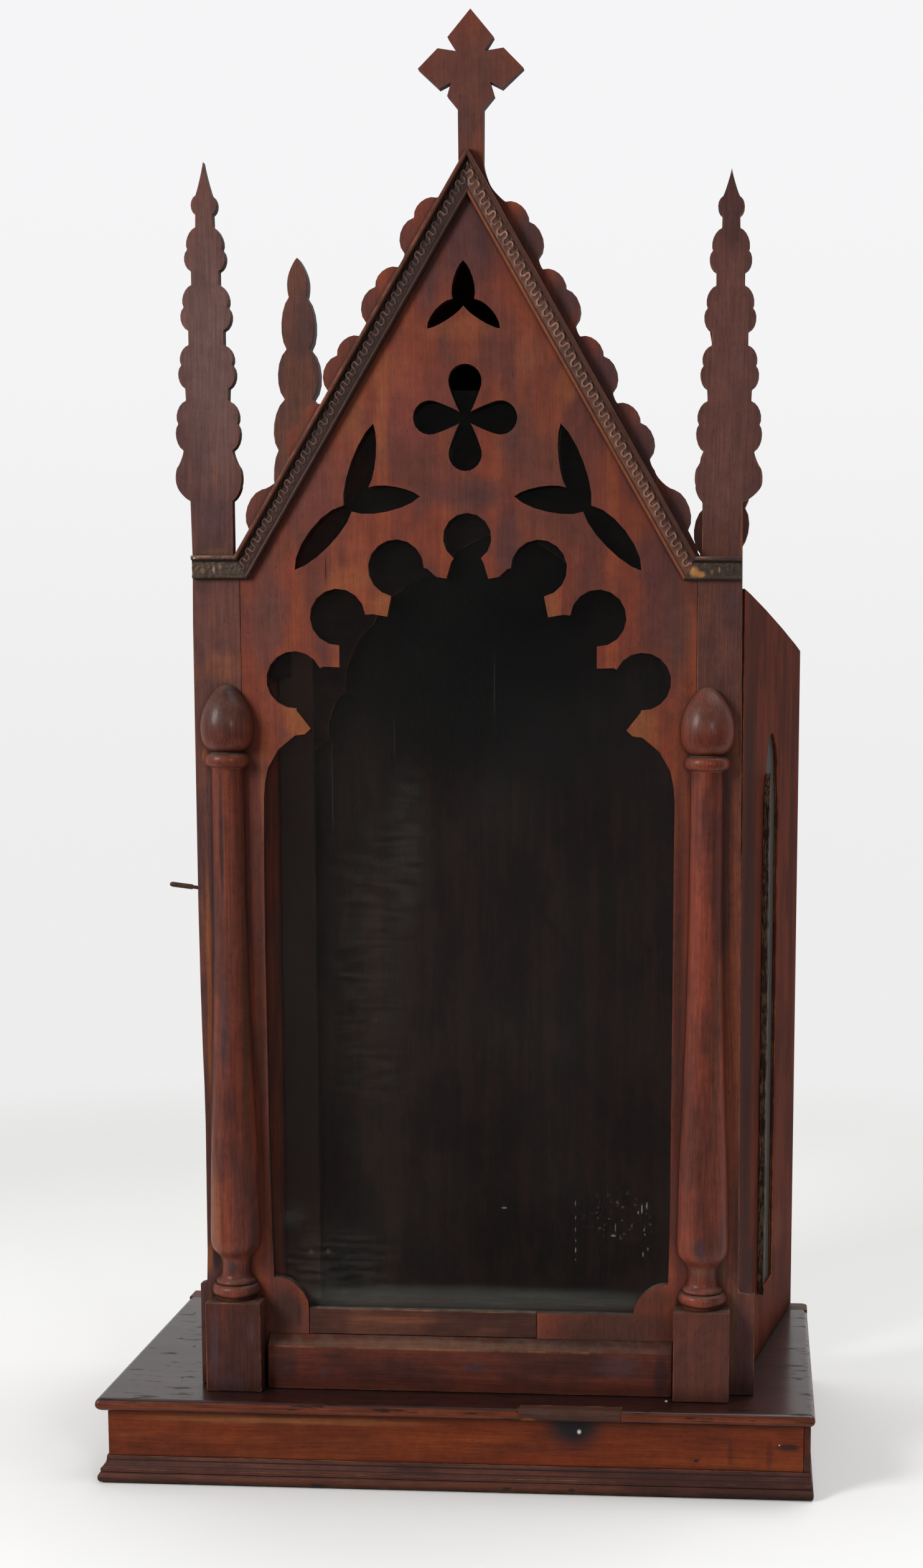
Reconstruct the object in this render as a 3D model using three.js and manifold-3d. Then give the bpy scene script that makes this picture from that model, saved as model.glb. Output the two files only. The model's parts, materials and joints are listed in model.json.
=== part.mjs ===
import * as THREE from 'three';
import { mergeVertices } from 'three/addons/utils/BufferGeometryUtils.js';
import Module from 'manifold-3d';

const wasm = await Module();
wasm.setup();

// Driving dimensions, in millimetres. X is to the right, Y to the back, Z up.
const gap = 0.3; // clearance between neighbouring pieces
const baseWidth = 579;
const baseDepth = 320;
const baseTopZ = 70.9; // the case stands on this
const baseBoard = 10.5; // thickness of the base's top board
const nosingOverhang = 8.4; // front board set back from the nosing
const mouldingHeight = 21.8;
const caseShift = 9.3; // the case stands a little right of the base's middle
const facadeY = 46.8; // front face of the facade, measured from the nosing
const facadeThick = 8;
const caseHalf = 216.5; // half the facade's width
const jointX = 179.6; // joint between the stiles and the gabled panel
const sillBottomZ = 114.7;
const sillTopZ = 136;
const returnTopZ = 741.5; // top of the short level cornices
const roofRise = 1.64; // rise of the gable per unit of run
const roofPeakZ = 1046;
const roofThick = 8;
const backY = 300; // front face of the back frame
const backThick = 14;
const backStileOuter = 205.7;
const backStileInner = 174.5;
const doorThick = 10;
const doorLength = 264.4;
const doorAjarDeg = 10.6; // the right door stands open by this much

const mahogany = { color: 0x6e3a2a, roughness: 0.42, metalness: 0 };
const darkWood = { color: 0x3b2119, roughness: 0.6, metalness: 0 };
const woods = {
  facade: new THREE.MeshStandardMaterial(mahogany),
  base: new THREE.MeshStandardMaterial({ ...mahogany, color: 0x6a3627 }),
  moulding: new THREE.MeshStandardMaterial({ ...mahogany, color: 0x5a3026 }),
  turned: new THREE.MeshStandardMaterial({ ...mahogany, color: 0x65332a, roughness: 0.36 }),
  inside: new THREE.MeshStandardMaterial(darkWood),
  door: new THREE.MeshStandardMaterial({ ...mahogany, color: 0x744232 }),
};
const paneGlass = new THREE.MeshStandardMaterial({
  color: 0xdfe6e2,
  roughness: 0.05,
  metalness: 0,
  transparent: true,
  opacity: 0.3,
});
const oldPutty = new THREE.MeshStandardMaterial({ color: 0xa39a8c, roughness: 0.85, metalness: 0 });

const model = new THREE.Group();
const baseGroup = new THREE.Group(); // Y measured from the nosing
baseGroup.position.set(0, -baseDepth / 2, 0);
const caseGroup = new THREE.Group();
caseGroup.position.set(caseShift, -baseDepth / 2, 0);
model.add(baseGroup, caseGroup);

function addMesh(parent, name, geometry, material) {
  const mesh = new THREE.Mesh(geometry, material);
  mesh.name = name;
  parent.add(mesh);
  return mesh;
}

// A flat board along Z, its curves turned into short straight steps, its doubled
// points dropped, and its outline and holes all drawn anticlockwise.
function flatBoard(outline, thickness, steps = 6) {
  const cleaned = (points) => {
    const apart = points.filter((point, k) => point.distanceTo(points.at(k - 1)) > 0.02);
    return THREE.ShapeUtils.isClockWise(apart) ? apart.reverse() : apart;
  };
  const drawn = outline.extractPoints(steps);
  const board = new THREE.Shape(cleaned(drawn.shape));
  board.holes = drawn.holes.map((hole) => new THREE.Path(cleaned(hole)));
  return new THREE.ExtrudeGeometry(board, { depth: thickness, bevelEnabled: false });
}

// An upright board: its outline lies in X and Z, and it runs back from frontY.
function uprightBoard(outline, frontY, thickness) {
  const geometry = flatBoard(outline, thickness);
  geometry.rotateX(Math.PI / 2);
  geometry.translate(0, frontY + thickness, 0);
  return geometry;
}

function polygonShape(points) {
  return new THREE.Shape(points.map(([x, y]) => new THREE.Vector2(x, y)));
}

function boxBetween(low, high) {
  const size = high.map((value, axis) => value - low[axis]);
  const geometry = new THREE.BoxGeometry(...size);
  geometry.translate(...low.map((value, axis) => value + size[axis] / 2));
  return geometry;
}

// A skin over a run of equal sections, closed at both ends. flat(point) gives each
// end section's two coordinates for its triangles.
function loft(sections, flat) {
  const count = sections[0].length;
  const positions = sections.flat().flatMap((point) => [point.x, point.y, point.z]);
  const index = [];
  for (let ring = 0; ring + 1 < sections.length; ring += 1) {
    for (let corner = 0; corner < count; corner += 1) {
      const next = (corner + 1) % count;
      const a = ring * count + corner;
      const b = ring * count + next;
      index.push(a, b, b + count, a, b + count, a + count);
    }
  }
  const contour = sections[0].map(flat);
  const clockwise = THREE.ShapeUtils.area(contour) < 0;
  const last = (sections.length - 1) * count;
  for (const [a, second, third] of THREE.ShapeUtils.triangulateShape(contour, [])) {
    const [b, c] = clockwise ? [third, second] : [second, third];
    index.push(a, c, b, last + a, last + b, last + c);
  }
  const geometry = new THREE.BufferGeometry();
  geometry.setAttribute('position', new THREE.Float32BufferAttribute(positions, 3));
  geometry.setIndex(index);
  return facingOut(geometry);
}

// Turns every triangle over when the closed skin encloses a negative volume.
function facingOut(geometry) {
  const position = geometry.attributes.position;
  const index = geometry.index.array;
  const corners = [new THREE.Vector3(), new THREE.Vector3(), new THREE.Vector3()];
  let volume = 0;
  for (let start = 0; start < index.length; start += 3) {
    corners.forEach((corner, k) => corner.fromBufferAttribute(position, index[start + k]));
    volume += corners[0].dot(corners[1].cross(corners[2]));
  }
  if (volume < 0) {
    for (let start = 0; start < index.length; start += 3) {
      [index[start], index[start + 1]] = [index[start + 1], index[start]];
    }
  }
  return geometry;
}

function toSolid(geometry) {
  const bare = geometry.clone();
  bare.deleteAttribute('normal');
  bare.deleteAttribute('uv');
  const merged = mergeVertices(bare, 1e-4);
  return new wasm.Manifold(new wasm.Mesh({
    numProp: 3,
    vertProperties: new Float32Array(merged.attributes.position.array),
    triVerts: new Uint32Array(merged.index.array),
  }));
}

function toGeometry(solid) {
  const mesh = solid.getMesh();
  const geometry = new THREE.BufferGeometry();
  geometry.setAttribute('position', new THREE.BufferAttribute(new Float32Array(mesh.vertProperties), 3));
  geometry.setIndex(new THREE.BufferAttribute(new Uint32Array(mesh.triVerts), 1));
  return geometry;
}

function cut(geometry, ...tools) {
  return toGeometry(tools.reduce((solid, tool) => solid.subtract(toSolid(tool)), toSolid(geometry)));
}

// Draws on from the pen's last point to (x, z) in one curve that stands out by bulge
// from the straight line: to the left of the direction of travel when bulge is positive.
function bow(path, x, z, bulge) {
  if (bulge === 0) {
    path.lineTo(x, z);
    return;
  }
  const from = path.currentPoint.clone();
  const along = new THREE.Vector2(x - from.x, z - from.y);
  const out = new THREE.Vector2(-along.y, along.x).normalize().multiplyScalar((bulge * 4) / 3);
  const first = from.clone().addScaledVector(along, 0.2).add(out);
  const second = from.clone().addScaledVector(along, 0.8).add(out);
  path.bezierCurveTo(first.x, first.y, second.x, second.y, x, z);
}

// A closed outline through [x, z, bulge] stops, each bulge shaping the way to its stop.
function bowedOutline(stops, side = 1) {
  const path = new THREE.Path();
  path.moveTo(side * stops.at(-1)[0], stops.at(-1)[1]);
  for (const [x, z, bulge] of stops) {
    bow(path, side * x, z, side * bulge);
  }
  return path;
}

// ---- Base: a shallow open-bottomed plinth ----

// Plan outline of the top board, drawn in by inset at its front and side edges.
function baseTopPlan(inset) {
  const half = baseWidth / 2 - inset;
  const corner = 3;
  const ring = [[-half, baseDepth - 22]];
  for (const [side, turn] of [[-1, 0], [1, 1]]) {
    for (let step = 0; step <= 3; step += 1) {
      const angle = ((turn ? step : 3 - step) * Math.PI) / 6;
      ring.push([side * (half - corner + corner * Math.sin(angle)), inset + corner - corner * Math.cos(angle)]);
    }
  }
  ring.push([half, baseDepth - 22]);
  return ring;
}

// The top board's edge is a half round, made by sections stacked upwards.
function baseTopBoard() {
  const radius = baseBoard / 2;
  const middleZ = baseTopZ - radius;
  const sections = [];
  for (let step = 0; step <= 8; step += 1) {
    const angle = -Math.PI / 2 + (step * Math.PI) / 8;
    const inset = radius * (1 - Math.cos(angle)) * 0.9;
    const z = middleZ + radius * Math.sin(angle);
    sections.push(baseTopPlan(inset).map(([x, y]) => new THREE.Vector3(x, y, z)));
  }
  return loft(sections, (point) => new THREE.Vector2(point.x, point.y));
}

const patchRange = [53.5, 135.5]; // where new wood is let into the nosing
const patchDepth = 11;

function addBaseTop() {
  const board = baseTopBoard();
  const bite = boxBetween([patchRange[0], -5, 40], [patchRange[1], patchDepth, 90]);
  const [from, to] = patchRange;
  const keep = boxBetween([from + gap, -5, 40], [to - gap, patchDepth - gap, 90]);
  addMesh(baseGroup, 'base_top', cut(board, bite), woods.base);
  const patch = toGeometry(toSolid(board).intersect(toSolid(keep)));
  addMesh(baseGroup, 'nosing_patch', patch, woods.base);
}

// The rear strip is a narrow board behind the main one, with one worn corner.
function addRearStrip() {
  const half = baseWidth / 2;
  const front = baseDepth - 22 + gap;
  const worn = 6;
  const plan = new THREE.Shape();
  plan.moveTo(-half, front);
  plan.lineTo(half, front);
  plan.lineTo(half, baseDepth - worn);
  plan.absarc(half - worn, baseDepth - worn, worn, 0, Math.PI / 2, false);
  plan.lineTo(-half, baseDepth);
  const geometry = flatBoard(plan, baseBoard);
  geometry.translate(0, 0, baseTopZ - baseBoard);
  addMesh(baseGroup, 'base_rear_strip', geometry, woods.base);
}

const frieze = { half: 280.7, thick: 14, sideThick: 5.2, back: 311 };

// The front board runs the full width; a thin side board laps its right-hand end.
function addFrieze() {
  const top = baseTopZ - baseBoard - gap;
  const { half, thick, sideThick, back } = frieze;
  const front = nosingOverhang;
  addMesh(baseGroup, 'base_front', boxBetween([-half, front, 0], [half, front + thick, top]), woods.base);
  addMesh(baseGroup, 'base_side_left',
    boxBetween([-half, front + thick + gap, 0], [-half + thick, back, top]), woods.base);
  addMesh(baseGroup, 'base_side_right',
    boxBetween([half + gap, front, 0], [half + gap + sideThick, back, top]), woods.base);
  addMesh(baseGroup, 'base_back',
    boxBetween([-half + thick + gap, back - thick, 0], [half, back, top]), woods.base);
}

// The foot moulding's section, as [outward, up]: torus, fillet and cove.
function footProfile() {
  const points = [[gap, 0], [4.6, 0]];
  const torusSteps = 5;
  for (let step = 0; step <= torusSteps; step += 1) {
    const angle = -Math.PI / 2 + (step * Math.PI) / torusSteps;
    points.push([4.4 + 3.4 * Math.cos(angle), 4.8 + 4.4 * Math.sin(angle)]);
  }
  points.push([5.6, 9.5], [5.6, 12]);
  const coveSteps = 4;
  for (let step = 1; step <= coveSteps; step += 1) {
    const angle = (step * Math.PI) / 2 / coveSteps;
    points.push([5.6 - 4.4 * Math.sin(angle), mouldingHeight - 9.8 * Math.cos(angle)]);
  }
  points.push([gap, mouldingHeight]);
  return points;
}

// The foot moulding runs along the front and both sides, mitred at the corners. The
// right-hand run is flattened, because the lapping board there stands further out.
function addFootMouldings() {
  const profile = footProfile();
  const runs = {
    left: { side: -1, face: frieze.half, depth: 1 },
    right: { side: 1, face: frieze.half + gap + frieze.sideThick, depth: 0.36 },
  };
  const frontEnds = Object.values(runs).map(({ side, face, depth }) => profile.map(([out, up]) =>
    new THREE.Vector3(side * (face + out * depth - gap / 2), nosingOverhang - out, up)));
  addMesh(baseGroup, 'base_moulding_front',
    loft(frontEnds, (point) => new THREE.Vector2(point.y, point.z)), woods.moulding);
  for (const [name, { side, face, depth }] of Object.entries(runs)) {
    const sections = [(out) => nosingOverhang - out + gap / 2, () => frieze.back].map((yAt) =>
      profile.map(([out, up]) => new THREE.Vector3(side * (face + out * depth), yAt(out), up)));
    addMesh(baseGroup, `base_moulding_${name}`,
      loft(sections, (point) => new THREE.Vector2(point.x, point.z)), woods.moulding);
  }
}

// ---- Facade ----

// Half outline of a flat pinnacle from its flare up to its tip, as [half width, height
// above the flare's foot, bulge]. Tiers of paired lobes shrink upwards between waists.
const pinnacleStops = [
  [25.4, 12, 1.6], [24.8, 25, 1], [19.5, 38, -0.8],
  [23.2, 58, 3.8], [16.8, 75.5, 3.8], [17.2, 84.5, 0],
  [20, 102, 3.8], [14, 117, 3.4], [14, 127.5, 0],
  [17.2, 145, 4.2], [11, 161.5, 3.4], [11, 171.5, 0],
  [13.6, 187.5, 3.8], [7, 204, 3.2], [6.8, 213, 0],
  [6.3, 227.5, 3.6],
];
// Each was sawn by hand, so the two differ a little. neck and middle are places in X.
const pinnacles = {
  left: { stops: [[16.8, 0, 0], ...pinnacleStops, [0, 252, -0.5]], stretch: 1.015, neck: -201, middle: -203 },
  right: { stops: [[15.6, 0, 0], ...pinnacleStops, [0, 248, -0.5]], stretch: 1, neck: 198.4, middle: 202.8 },
};

// Draws one side of a pinnacle. side is +1 on its right, and goesUp tells the direction.
function drawPinnacleSide(path, { stops, stretch, neck, middle }, footZ, side, goesUp) {
  const place = ([half, up]) => [(up > 0 ? middle : neck) + side * half, footZ + up * stretch];
  if (goesUp) {
    stops.slice(1).forEach((stop) => bow(path, ...place(stop), -side * stop[2]));
    return;
  }
  for (let k = stops.length - 2; k >= 0; k -= 1) {
    bow(path, ...place(stops[k]), side * stops[k + 1][2]);
  }
}

// A stile is one board from the base to the tip of its pinnacle, with a stepped foot.
function facadeStile(side) {
  const pinnacle = side < 0 ? pinnacles.left : pinnacles.right;
  // The outer edge runs down through these: the left one wavers where it was sawn.
  const outer = side < 0 ? [[-217, returnTopZ, 0], [-216.4, 345, -1.4], [-216.5, 157, 1.2]]
    : [[214, returnTopZ, 0], [218, 157, 0]];
  const neckInner = pinnacle.neck - side * pinnacle.stops[0][0];
  const flareZ = 784;
  const footOut = side < 0 ? 222 : 231;
  const inner = side * (jointX + gap / 2);
  const shape = new THREE.Shape();
  shape.moveTo(inner, baseTopZ + gap);
  shape.lineTo(inner, returnTopZ - 4);
  shape.lineTo(neckInner, returnTopZ + 2);
  shape.lineTo(neckInner, flareZ);
  drawPinnacleSide(shape, pinnacle, flareZ, -side, true);
  drawPinnacleSide(shape, pinnacle, flareZ, side, false);
  outer.forEach(([x, z, bulge]) => bow(shape, x, z, bulge));
  shape.lineTo(side * footOut, 155);
  shape.lineTo(side * footOut, baseTopZ + gap);
  shape.closePath();
  return uprightBoard(shape, facadeY, facadeThick);
}

const finialX = 4; // the cross stands a little right of the gable's middle
const crest = {
  right: { start: [30.5, 1008.3], step: [28.75, -50.1] },
  left: { start: [-22.4, 1011.7], step: [-30.3, -51.3] },
};
const crocket = { notch: [17.6, -14.6], small: 5.5, foot: [25, -41.5], large: 7.2 };

// The cross finial's right half, from its neck to its tip: [from its middle, z, bulge].
const finialStops = [
  [16, 1018.8, -0.6], [9.6, 1037, -1], [9.9, 1076.7, 0], [18, 1086.2, 0], [15, 1096, 0],
  [24.1, 1091.5, 0], [40.3, 1106.2, 0], [25.2, 1121, 0], [10.9, 1118.8, 0], [17.6, 1129, 0],
  [0, 1149.5, 0],
];

// Points of one side of the crest, from the finial's foot down to the cornice.
function crestStops(name) {
  const side = name === 'right' ? 1 : -1;
  const { start, step } = crest[name];
  const stops = [];
  for (let unit = 0; unit < 4; unit += 1) {
    const x = start[0] + unit * step[0];
    const z = start[1] + unit * step[1];
    const at = ([out, up], bulge) => [x + side * out, z + up, bulge];
    stops.push(at(crocket.notch, crocket.small), at(crocket.foot, crocket.large));
    stops.push([x + step[0], z + step[1], -0.6]);
  }
  // The lowest crocket is a single long leaf that ends on the level cornice.
  stops.push([side * 161, 792.8, -2.4], [side * 171.8, 762.4, 6.6], [side * 179.4, 748, 0]);
  return stops;
}

const foils = [
  { x: 0, z: 756, r: 19 },
  { x: 56.1, z: 732.7, r: 22 },
  { x: 102.5, z: 694.6, r: 22 },
  { x: 137.4, z: 645.6, r: 22.4 },
];
// Blunt cusps between the foils, from the lowest up: each as its corners in order.
const cusps = [
  [[163.2, 552], [162.2, 564], [159.6, 576], [151, 591], [137.5, 602], [129.7, 603], [125, 607.5], [136, 621.5]],
  [[114.5, 656], [101.5, 655.5], [101.5, 672]],
  [[75, 697], [63.3, 695], [60, 711]],
  [[32, 732.5], [24.5, 726], [16.5, 724.5], [12.5, 737.5]],
];

// Follows the cusped arch from its right springing to its left one, over the crown.
function drawArch(path) {
  const arcTo = (foil, from, to, flip) => {
    const angle = ([x, z]) => Math.atan2(z - foil.z, flip * (x - foil.x));
    path.absarc(flip * foil.x, foil.z, foil.r, angle(from), angle(to), false);
  };
  const lineThrough = (points, flip) => points.forEach(([x, z]) => path.lineTo(flip * x, z));
  for (let k = 0; k < cusps.length; k += 1) {
    lineThrough(cusps[k], 1);
    if (k + 1 < cusps.length) {
      arcTo(foils[3 - k], cusps[k].at(-1), cusps[k + 1][0], 1);
    }
  }
  const crown = foils[0];
  const [x, z] = cusps.at(-1).at(-1);
  const angle = Math.atan2(z - crown.z, x);
  path.absarc(0, crown.z, crown.r, angle, Math.PI - angle, false);
  for (let k = cusps.length - 1; k >= 0; k -= 1) {
    lineThrough([...cusps[k]].reverse(), -1);
    if (k > 0) {
      arcTo(foils[4 - k], cusps[k][0], cusps[k - 1].at(-1), -1);
    }
  }
}

const sideTrefoil = [
  [73, 843, 4], [96.8, 780.7, 6], // up and back
  [136, 731, 9], [90.5, 776, 6],
  [36.8, 787.6, 6], [77.1, 794.5, 4],
];
const topTrefoil = [
  [-2.3, 965.3, -3.4], [-10.7, 936.6, -3.4],
  [-30.5, 914.3, -4.6], [-2.3, 931.5, -2.4],
  [26, 914.3, -2.4], [6.1, 936.6, -4.6],
];

// Four drops round one point, each a round lobe drawn in to a narrow waist.
function quatrefoilHole(centreX, centreZ) {
  const waist = 4.4;
  const lobe = { away: 27.6, r: 13 };
  const path = new THREE.Path();
  const turned = (x, z, turn) => {
    const point = new THREE.Vector2(x, z).rotateAround(new THREE.Vector2(), (turn * Math.PI) / 2);
    return [centreX + point.x, centreZ + point.y];
  };
  path.moveTo(...turned(waist, waist, 0));
  for (let turn = 0; turn < 4; turn += 1) {
    const spread = 0.24;
    const lean = (turn * Math.PI) / 2;
    bow(path, ...turned(lobe.r * Math.cos(spread), lobe.away - lobe.r * Math.sin(spread), turn), -0.5);
    const middle = turned(0, lobe.away, turn);
    path.absarc(...middle, lobe.r, lean - spread, lean + Math.PI + spread, false);
    bow(path, ...turned(-waist, waist, turn), -0.5);
  }
  return path;
}

// The gabled panel: opening, piercings, crockets and cross are cut in one board.
function facadePanel() {
  const edge = jointX - gap / 2;
  const legInner = 165.4;
  const foot = baseTopZ + gap;
  const shape = new THREE.Shape();
  shape.moveTo(-edge, foot);
  shape.lineTo(-edge, 748);
  const left = crestStops('left');
  // Up the left side: each way back carries the bulge of the stop it leaves.
  for (let k = left.length - 2; k >= 0; k -= 1) {
    bow(shape, left[k][0], left[k][1], left[k + 1][2]);
  }
  bow(shape, ...crest.left.start, left[0][2]);
  finialStops.forEach(([x, z, bulge]) => bow(shape, finialX - x, z, bulge));
  for (let k = finialStops.length - 2; k >= 0; k -= 1) {
    bow(shape, finialX + finialStops[k][0], finialStops[k][1], finialStops[k + 1][2]);
  }
  bow(shape, ...crest.right.start, finialStops[0][2]);
  crestStops('right').forEach(([x, z, bulge]) => bow(shape, x, z, bulge));
  shape.lineTo(edge, 748);
  shape.lineTo(edge, foot);
  shape.lineTo(legInner, foot);
  shape.lineTo(legInner, sillBottomZ);
  shape.lineTo(54.5, sillBottomZ); // the sill is one with the panel from here
  shape.lineTo(54.5, sillTopZ);
  shape.lineTo(133, sillTopZ);
  bow(shape, 161, 161.7, 7.5); // a convex quarter round stands in each lower corner
  bow(shape, 163.2, 545, -1.4); // the jambs are sawn a little hollow
  drawArch(shape);
  bow(shape, -161, 161.7, -1.8);
  bow(shape, -132.7, sillTopZ + 0.4, 7.5);
  shape.lineTo(-132.7, sillBottomZ);
  shape.lineTo(-legInner, sillBottomZ);
  shape.lineTo(-legInner, foot);
  shape.closePath();
  shape.holes.push(bowedOutline(topTrefoil), bowedOutline(sideTrefoil, 1), bowedOutline(sideTrefoil, -1));
  shape.holes.push(quatrefoilHole(-1.3, 847.5));
  return uprightBoard(shape, facadeY, facadeThick);
}

function addFacade() {
  addMesh(caseGroup, 'front_stile_left', facadeStile(-1), woods.facade);
  addMesh(caseGroup, 'front_stile_right', facadeStile(1), woods.facade);
  addMesh(caseGroup, 'front_panel', facadePanel(), woods.facade);
  const back = facadeY + facadeThick;
  addMesh(caseGroup, 'sill_strip',
    boxBetween([-132.7 + gap, facadeY + 0.6, sillBottomZ + gap], [54.5 - gap, back, sillTopZ]), woods.facade);
}

// The bottom rail stands 10 mm proud of the facade, with its top edge sloped off.
function addBottomRail() {
  const front = facadeY - 10;
  const back = facadeY + facadeThick;
  const foot = baseTopZ + gap;
  const top = sillBottomZ - gap;
  const section = [[front, foot], [front, 106.7], [facadeY - 0.6, top], [back, top], [back, foot]];
  const ends = [-165.1, 165.1].map((x) => section.map(([y, z]) => new THREE.Vector3(x, y, z)));
  addMesh(caseGroup, 'bottom_rail', loft(ends, (point) => new THREE.Vector2(point.y, point.z)), woods.facade);
}

const column = {
  centre: { left: -191.5, right: 188.6 },
  pedestal: { left: [-213.2, -168], right: [166, 211.2], front: 26, top: 145 },
};

// Turned profile of a half column, as [radius, z], from the pedestal to the acorn's point.
function columnProfile() {
  const points = [[0, 145.3], [16.5, 145.3], [16.5, 148.6]];
  const addTorus = (z0, z1, inner, outer, steps) => {
    for (let step = 0; step <= steps; step += 1) {
      const angle = (step / steps) * Math.PI;
      points.push([inner + (outer - inner) * Math.sin(angle), z0 + ((z1 - z0) * (1 - Math.cos(angle))) / 2]);
    }
  };
  addTorus(149.6, 161, 16, 19.5, 6);
  points.push([16.6, 164.4], [14, 167.6], [13.6, 176], [14.4, 184]);
  points.push([17.4, 188.5], [19.2, 196], [19.8, 212], [19.4, 250], [17.6, 300]);
  points.push([15.4, 365], [13.9, 420], [13, 470], [12.7, 575]);
  addTorus(577, 588.4, 14.6, 17.2, 5);
  const acorn = [[12.6, 590], [17, 596], [20, 603], [21, 610.5], [19.2, 619], [14.6, 627.6], [7.6, 634.4]];
  points.push(...acorn, [2.6, 638.4], [0, 641.6]);
  return points.map(([radius, z]) => new THREE.Vector2(radius, z));
}

function addColumns() {
  const turned = new THREE.LatheGeometry(columnProfile(), 24);
  turned.rotateX(Math.PI / 2);
  const behind = boxBetween([-40, -gap, 100], [40, 60, 700]);
  const half = cut(turned, behind);
  const { pedestal, centre } = column;
  for (const name of ['left', 'right']) {
    const [from, to] = pedestal[name];
    addMesh(caseGroup, `pedestal_${name}`,
      boxBetween([from, pedestal.front, baseTopZ + gap], [to, facadeY - gap, pedestal.top]), woods.facade);
    addMesh(caseGroup, `half_column_${name}`, half, woods.turned).position.set(centre[name], facadeY, 0);
  }
}

// ---- Cornice: raking mouldings on the gable and a short level one over each column ----

// Section of both mouldings, as [width down from the upper edge, how far it stands out].
const corniceSection = [
  [0, 0.3], [0, 8], [3.1, 8.2], [4, 5], [14.6, 4.4], [15.3, 5.4], [16.8, 5.2], [17.4, 0.3],
];
// Both upper edges meet at this apex; the right side is a little steeper than the left.
const corniceApex = { x: 1.8, z: 1047.3 };
const corniceRise = { left: 1.658, right: 1.727 };

function addCornices() {
  const levelHeight = 17.8;
  const apex = corniceApex;
  const yz = (point) => new THREE.Vector2(point.y, point.z);
  for (const [name, side] of [['left', -1], ['right', 1]]) {
    const lean = Math.atan(corniceRise[name]);
    // How far from the middle the raking moulding's line at this width down reaches z.
    const reach = (down, z) => side * apex.x + (apex.z - down / Math.cos(lean) - z) / Math.tan(lean);
    const levelZ = (down) => returnTopZ - (down * levelHeight) / 17.4;
    const level = (xAt) => corniceSection.map(([down, out]) =>
      new THREE.Vector3(side * xAt(down), facadeY - out, levelZ(down)));
    const mitre = (down) => reach(down, levelZ(down));
    addMesh(caseGroup, `cornice_return_${name}`,
      loft([level(mitre), level(() => (side < 0 ? 216.3 : 213.8))], yz), woods.moulding);
    const upper = corniceSection.map(([down, out]) => new THREE.Vector3(
      apex.x + (side * gap) / 2, facadeY - out, apex.z - down / Math.cos(lean)));
    const lower = corniceSection.map(([down, out]) => new THREE.Vector3(
      side * (mitre(down) - gap), facadeY - out, levelZ(down) + gap * Math.tan(lean)));
    addMesh(caseGroup, `rake_moulding_${name}`, loft([upper, lower], yz), woods.moulding);
  }
}

// ---- Glass, back, roof and door stops ----

function addFrontGlass() {
  const outline = polygonShape([
    [-172, 126], [172, 126], [172, 738], [92, 869], [-92, 869], [-172, 738],
  ]);
  addMesh(caseGroup, 'glass_front', uprightBoard(outline, facadeY + facadeThick + gap, 2.5), paneGlass);
}

// The back pinnacles have plainer lobes, one to a tier, below a pointed leaf.
const backPinnacleStops = [
  [15.6, 0, 0], [18, 40, 7.4], [19, 90, 5], [12.7, 134.5, 6.8], [10.5, 178, 7],
  [7.8, 223, 5.6], [8.8, 238, 0.8], [0, 257, 1.4],
];
const backPinnacleShift = 6; // both stand this far to the right of their stiles' middles

function addBackStiles() {
  for (const [name, side] of [['left', -1], ['right', 1]]) {
    const neck = (side * (backStileInner + backStileOuter)) / 2;
    const pinnacle = { stops: backPinnacleStops, stretch: 1, neck, middle: neck + backPinnacleShift };
    const footZ = 760;
    const shape = new THREE.Shape();
    shape.moveTo(side * backStileInner, baseTopZ + gap);
    shape.lineTo(side * backStileInner, footZ - 30);
    shape.lineTo(neck - side * 15.6, footZ);
    drawPinnacleSide(shape, pinnacle, footZ, -side, true);
    drawPinnacleSide(shape, pinnacle, footZ, side, false);
    shape.lineTo(side * backStileOuter, footZ - 30);
    shape.lineTo(side * backStileOuter, baseTopZ + gap);
    shape.closePath();
    addMesh(caseGroup, `back_stile_${name}`, uprightBoard(shape, backY, backThick), woods.inside);
  }
}

// The head board of the back, with a cusped arch below and the gable's slope above.
function addBackHead() {
  const edge = backStileInner - gap;
  const gableZ = (x) => roofPeakZ - roofThick * 2 - roofRise * Math.abs(x);
  const arch = [
    [159, 592, -1], [144, 636, -7], [119, 696, -8], [65, 740, -8], [0, 778, -7],
  ];
  const shape = new THREE.Shape();
  shape.moveTo(-edge, 584);
  shape.lineTo(-edge, gableZ(edge));
  shape.lineTo(0, gableZ(0));
  shape.lineTo(edge, gableZ(edge));
  shape.lineTo(edge, 584);
  arch.forEach(([x, z, bulge]) => bow(shape, x, z, bulge));
  for (let k = arch.length - 2; k >= 0; k -= 1) {
    bow(shape, -arch[k][0], arch[k][1], arch[k + 1][2]);
  }
  shape.closePath();
  addMesh(caseGroup, 'back_head', uprightBoard(shape, backY, backThick), woods.inside);
}

function addBackPanel() {
  const half = backStileOuter - 2;
  const eaves = 700;
  const outline = polygonShape([
    [-half, baseTopZ + gap], [half, baseTopZ + gap], [half, eaves], [0, roofPeakZ - 22], [-half, eaves],
  ]);
  addMesh(caseGroup, 'back_panel', uprightBoard(outline, backY + backThick + gap, 5.4), woods.inside);
}

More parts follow.
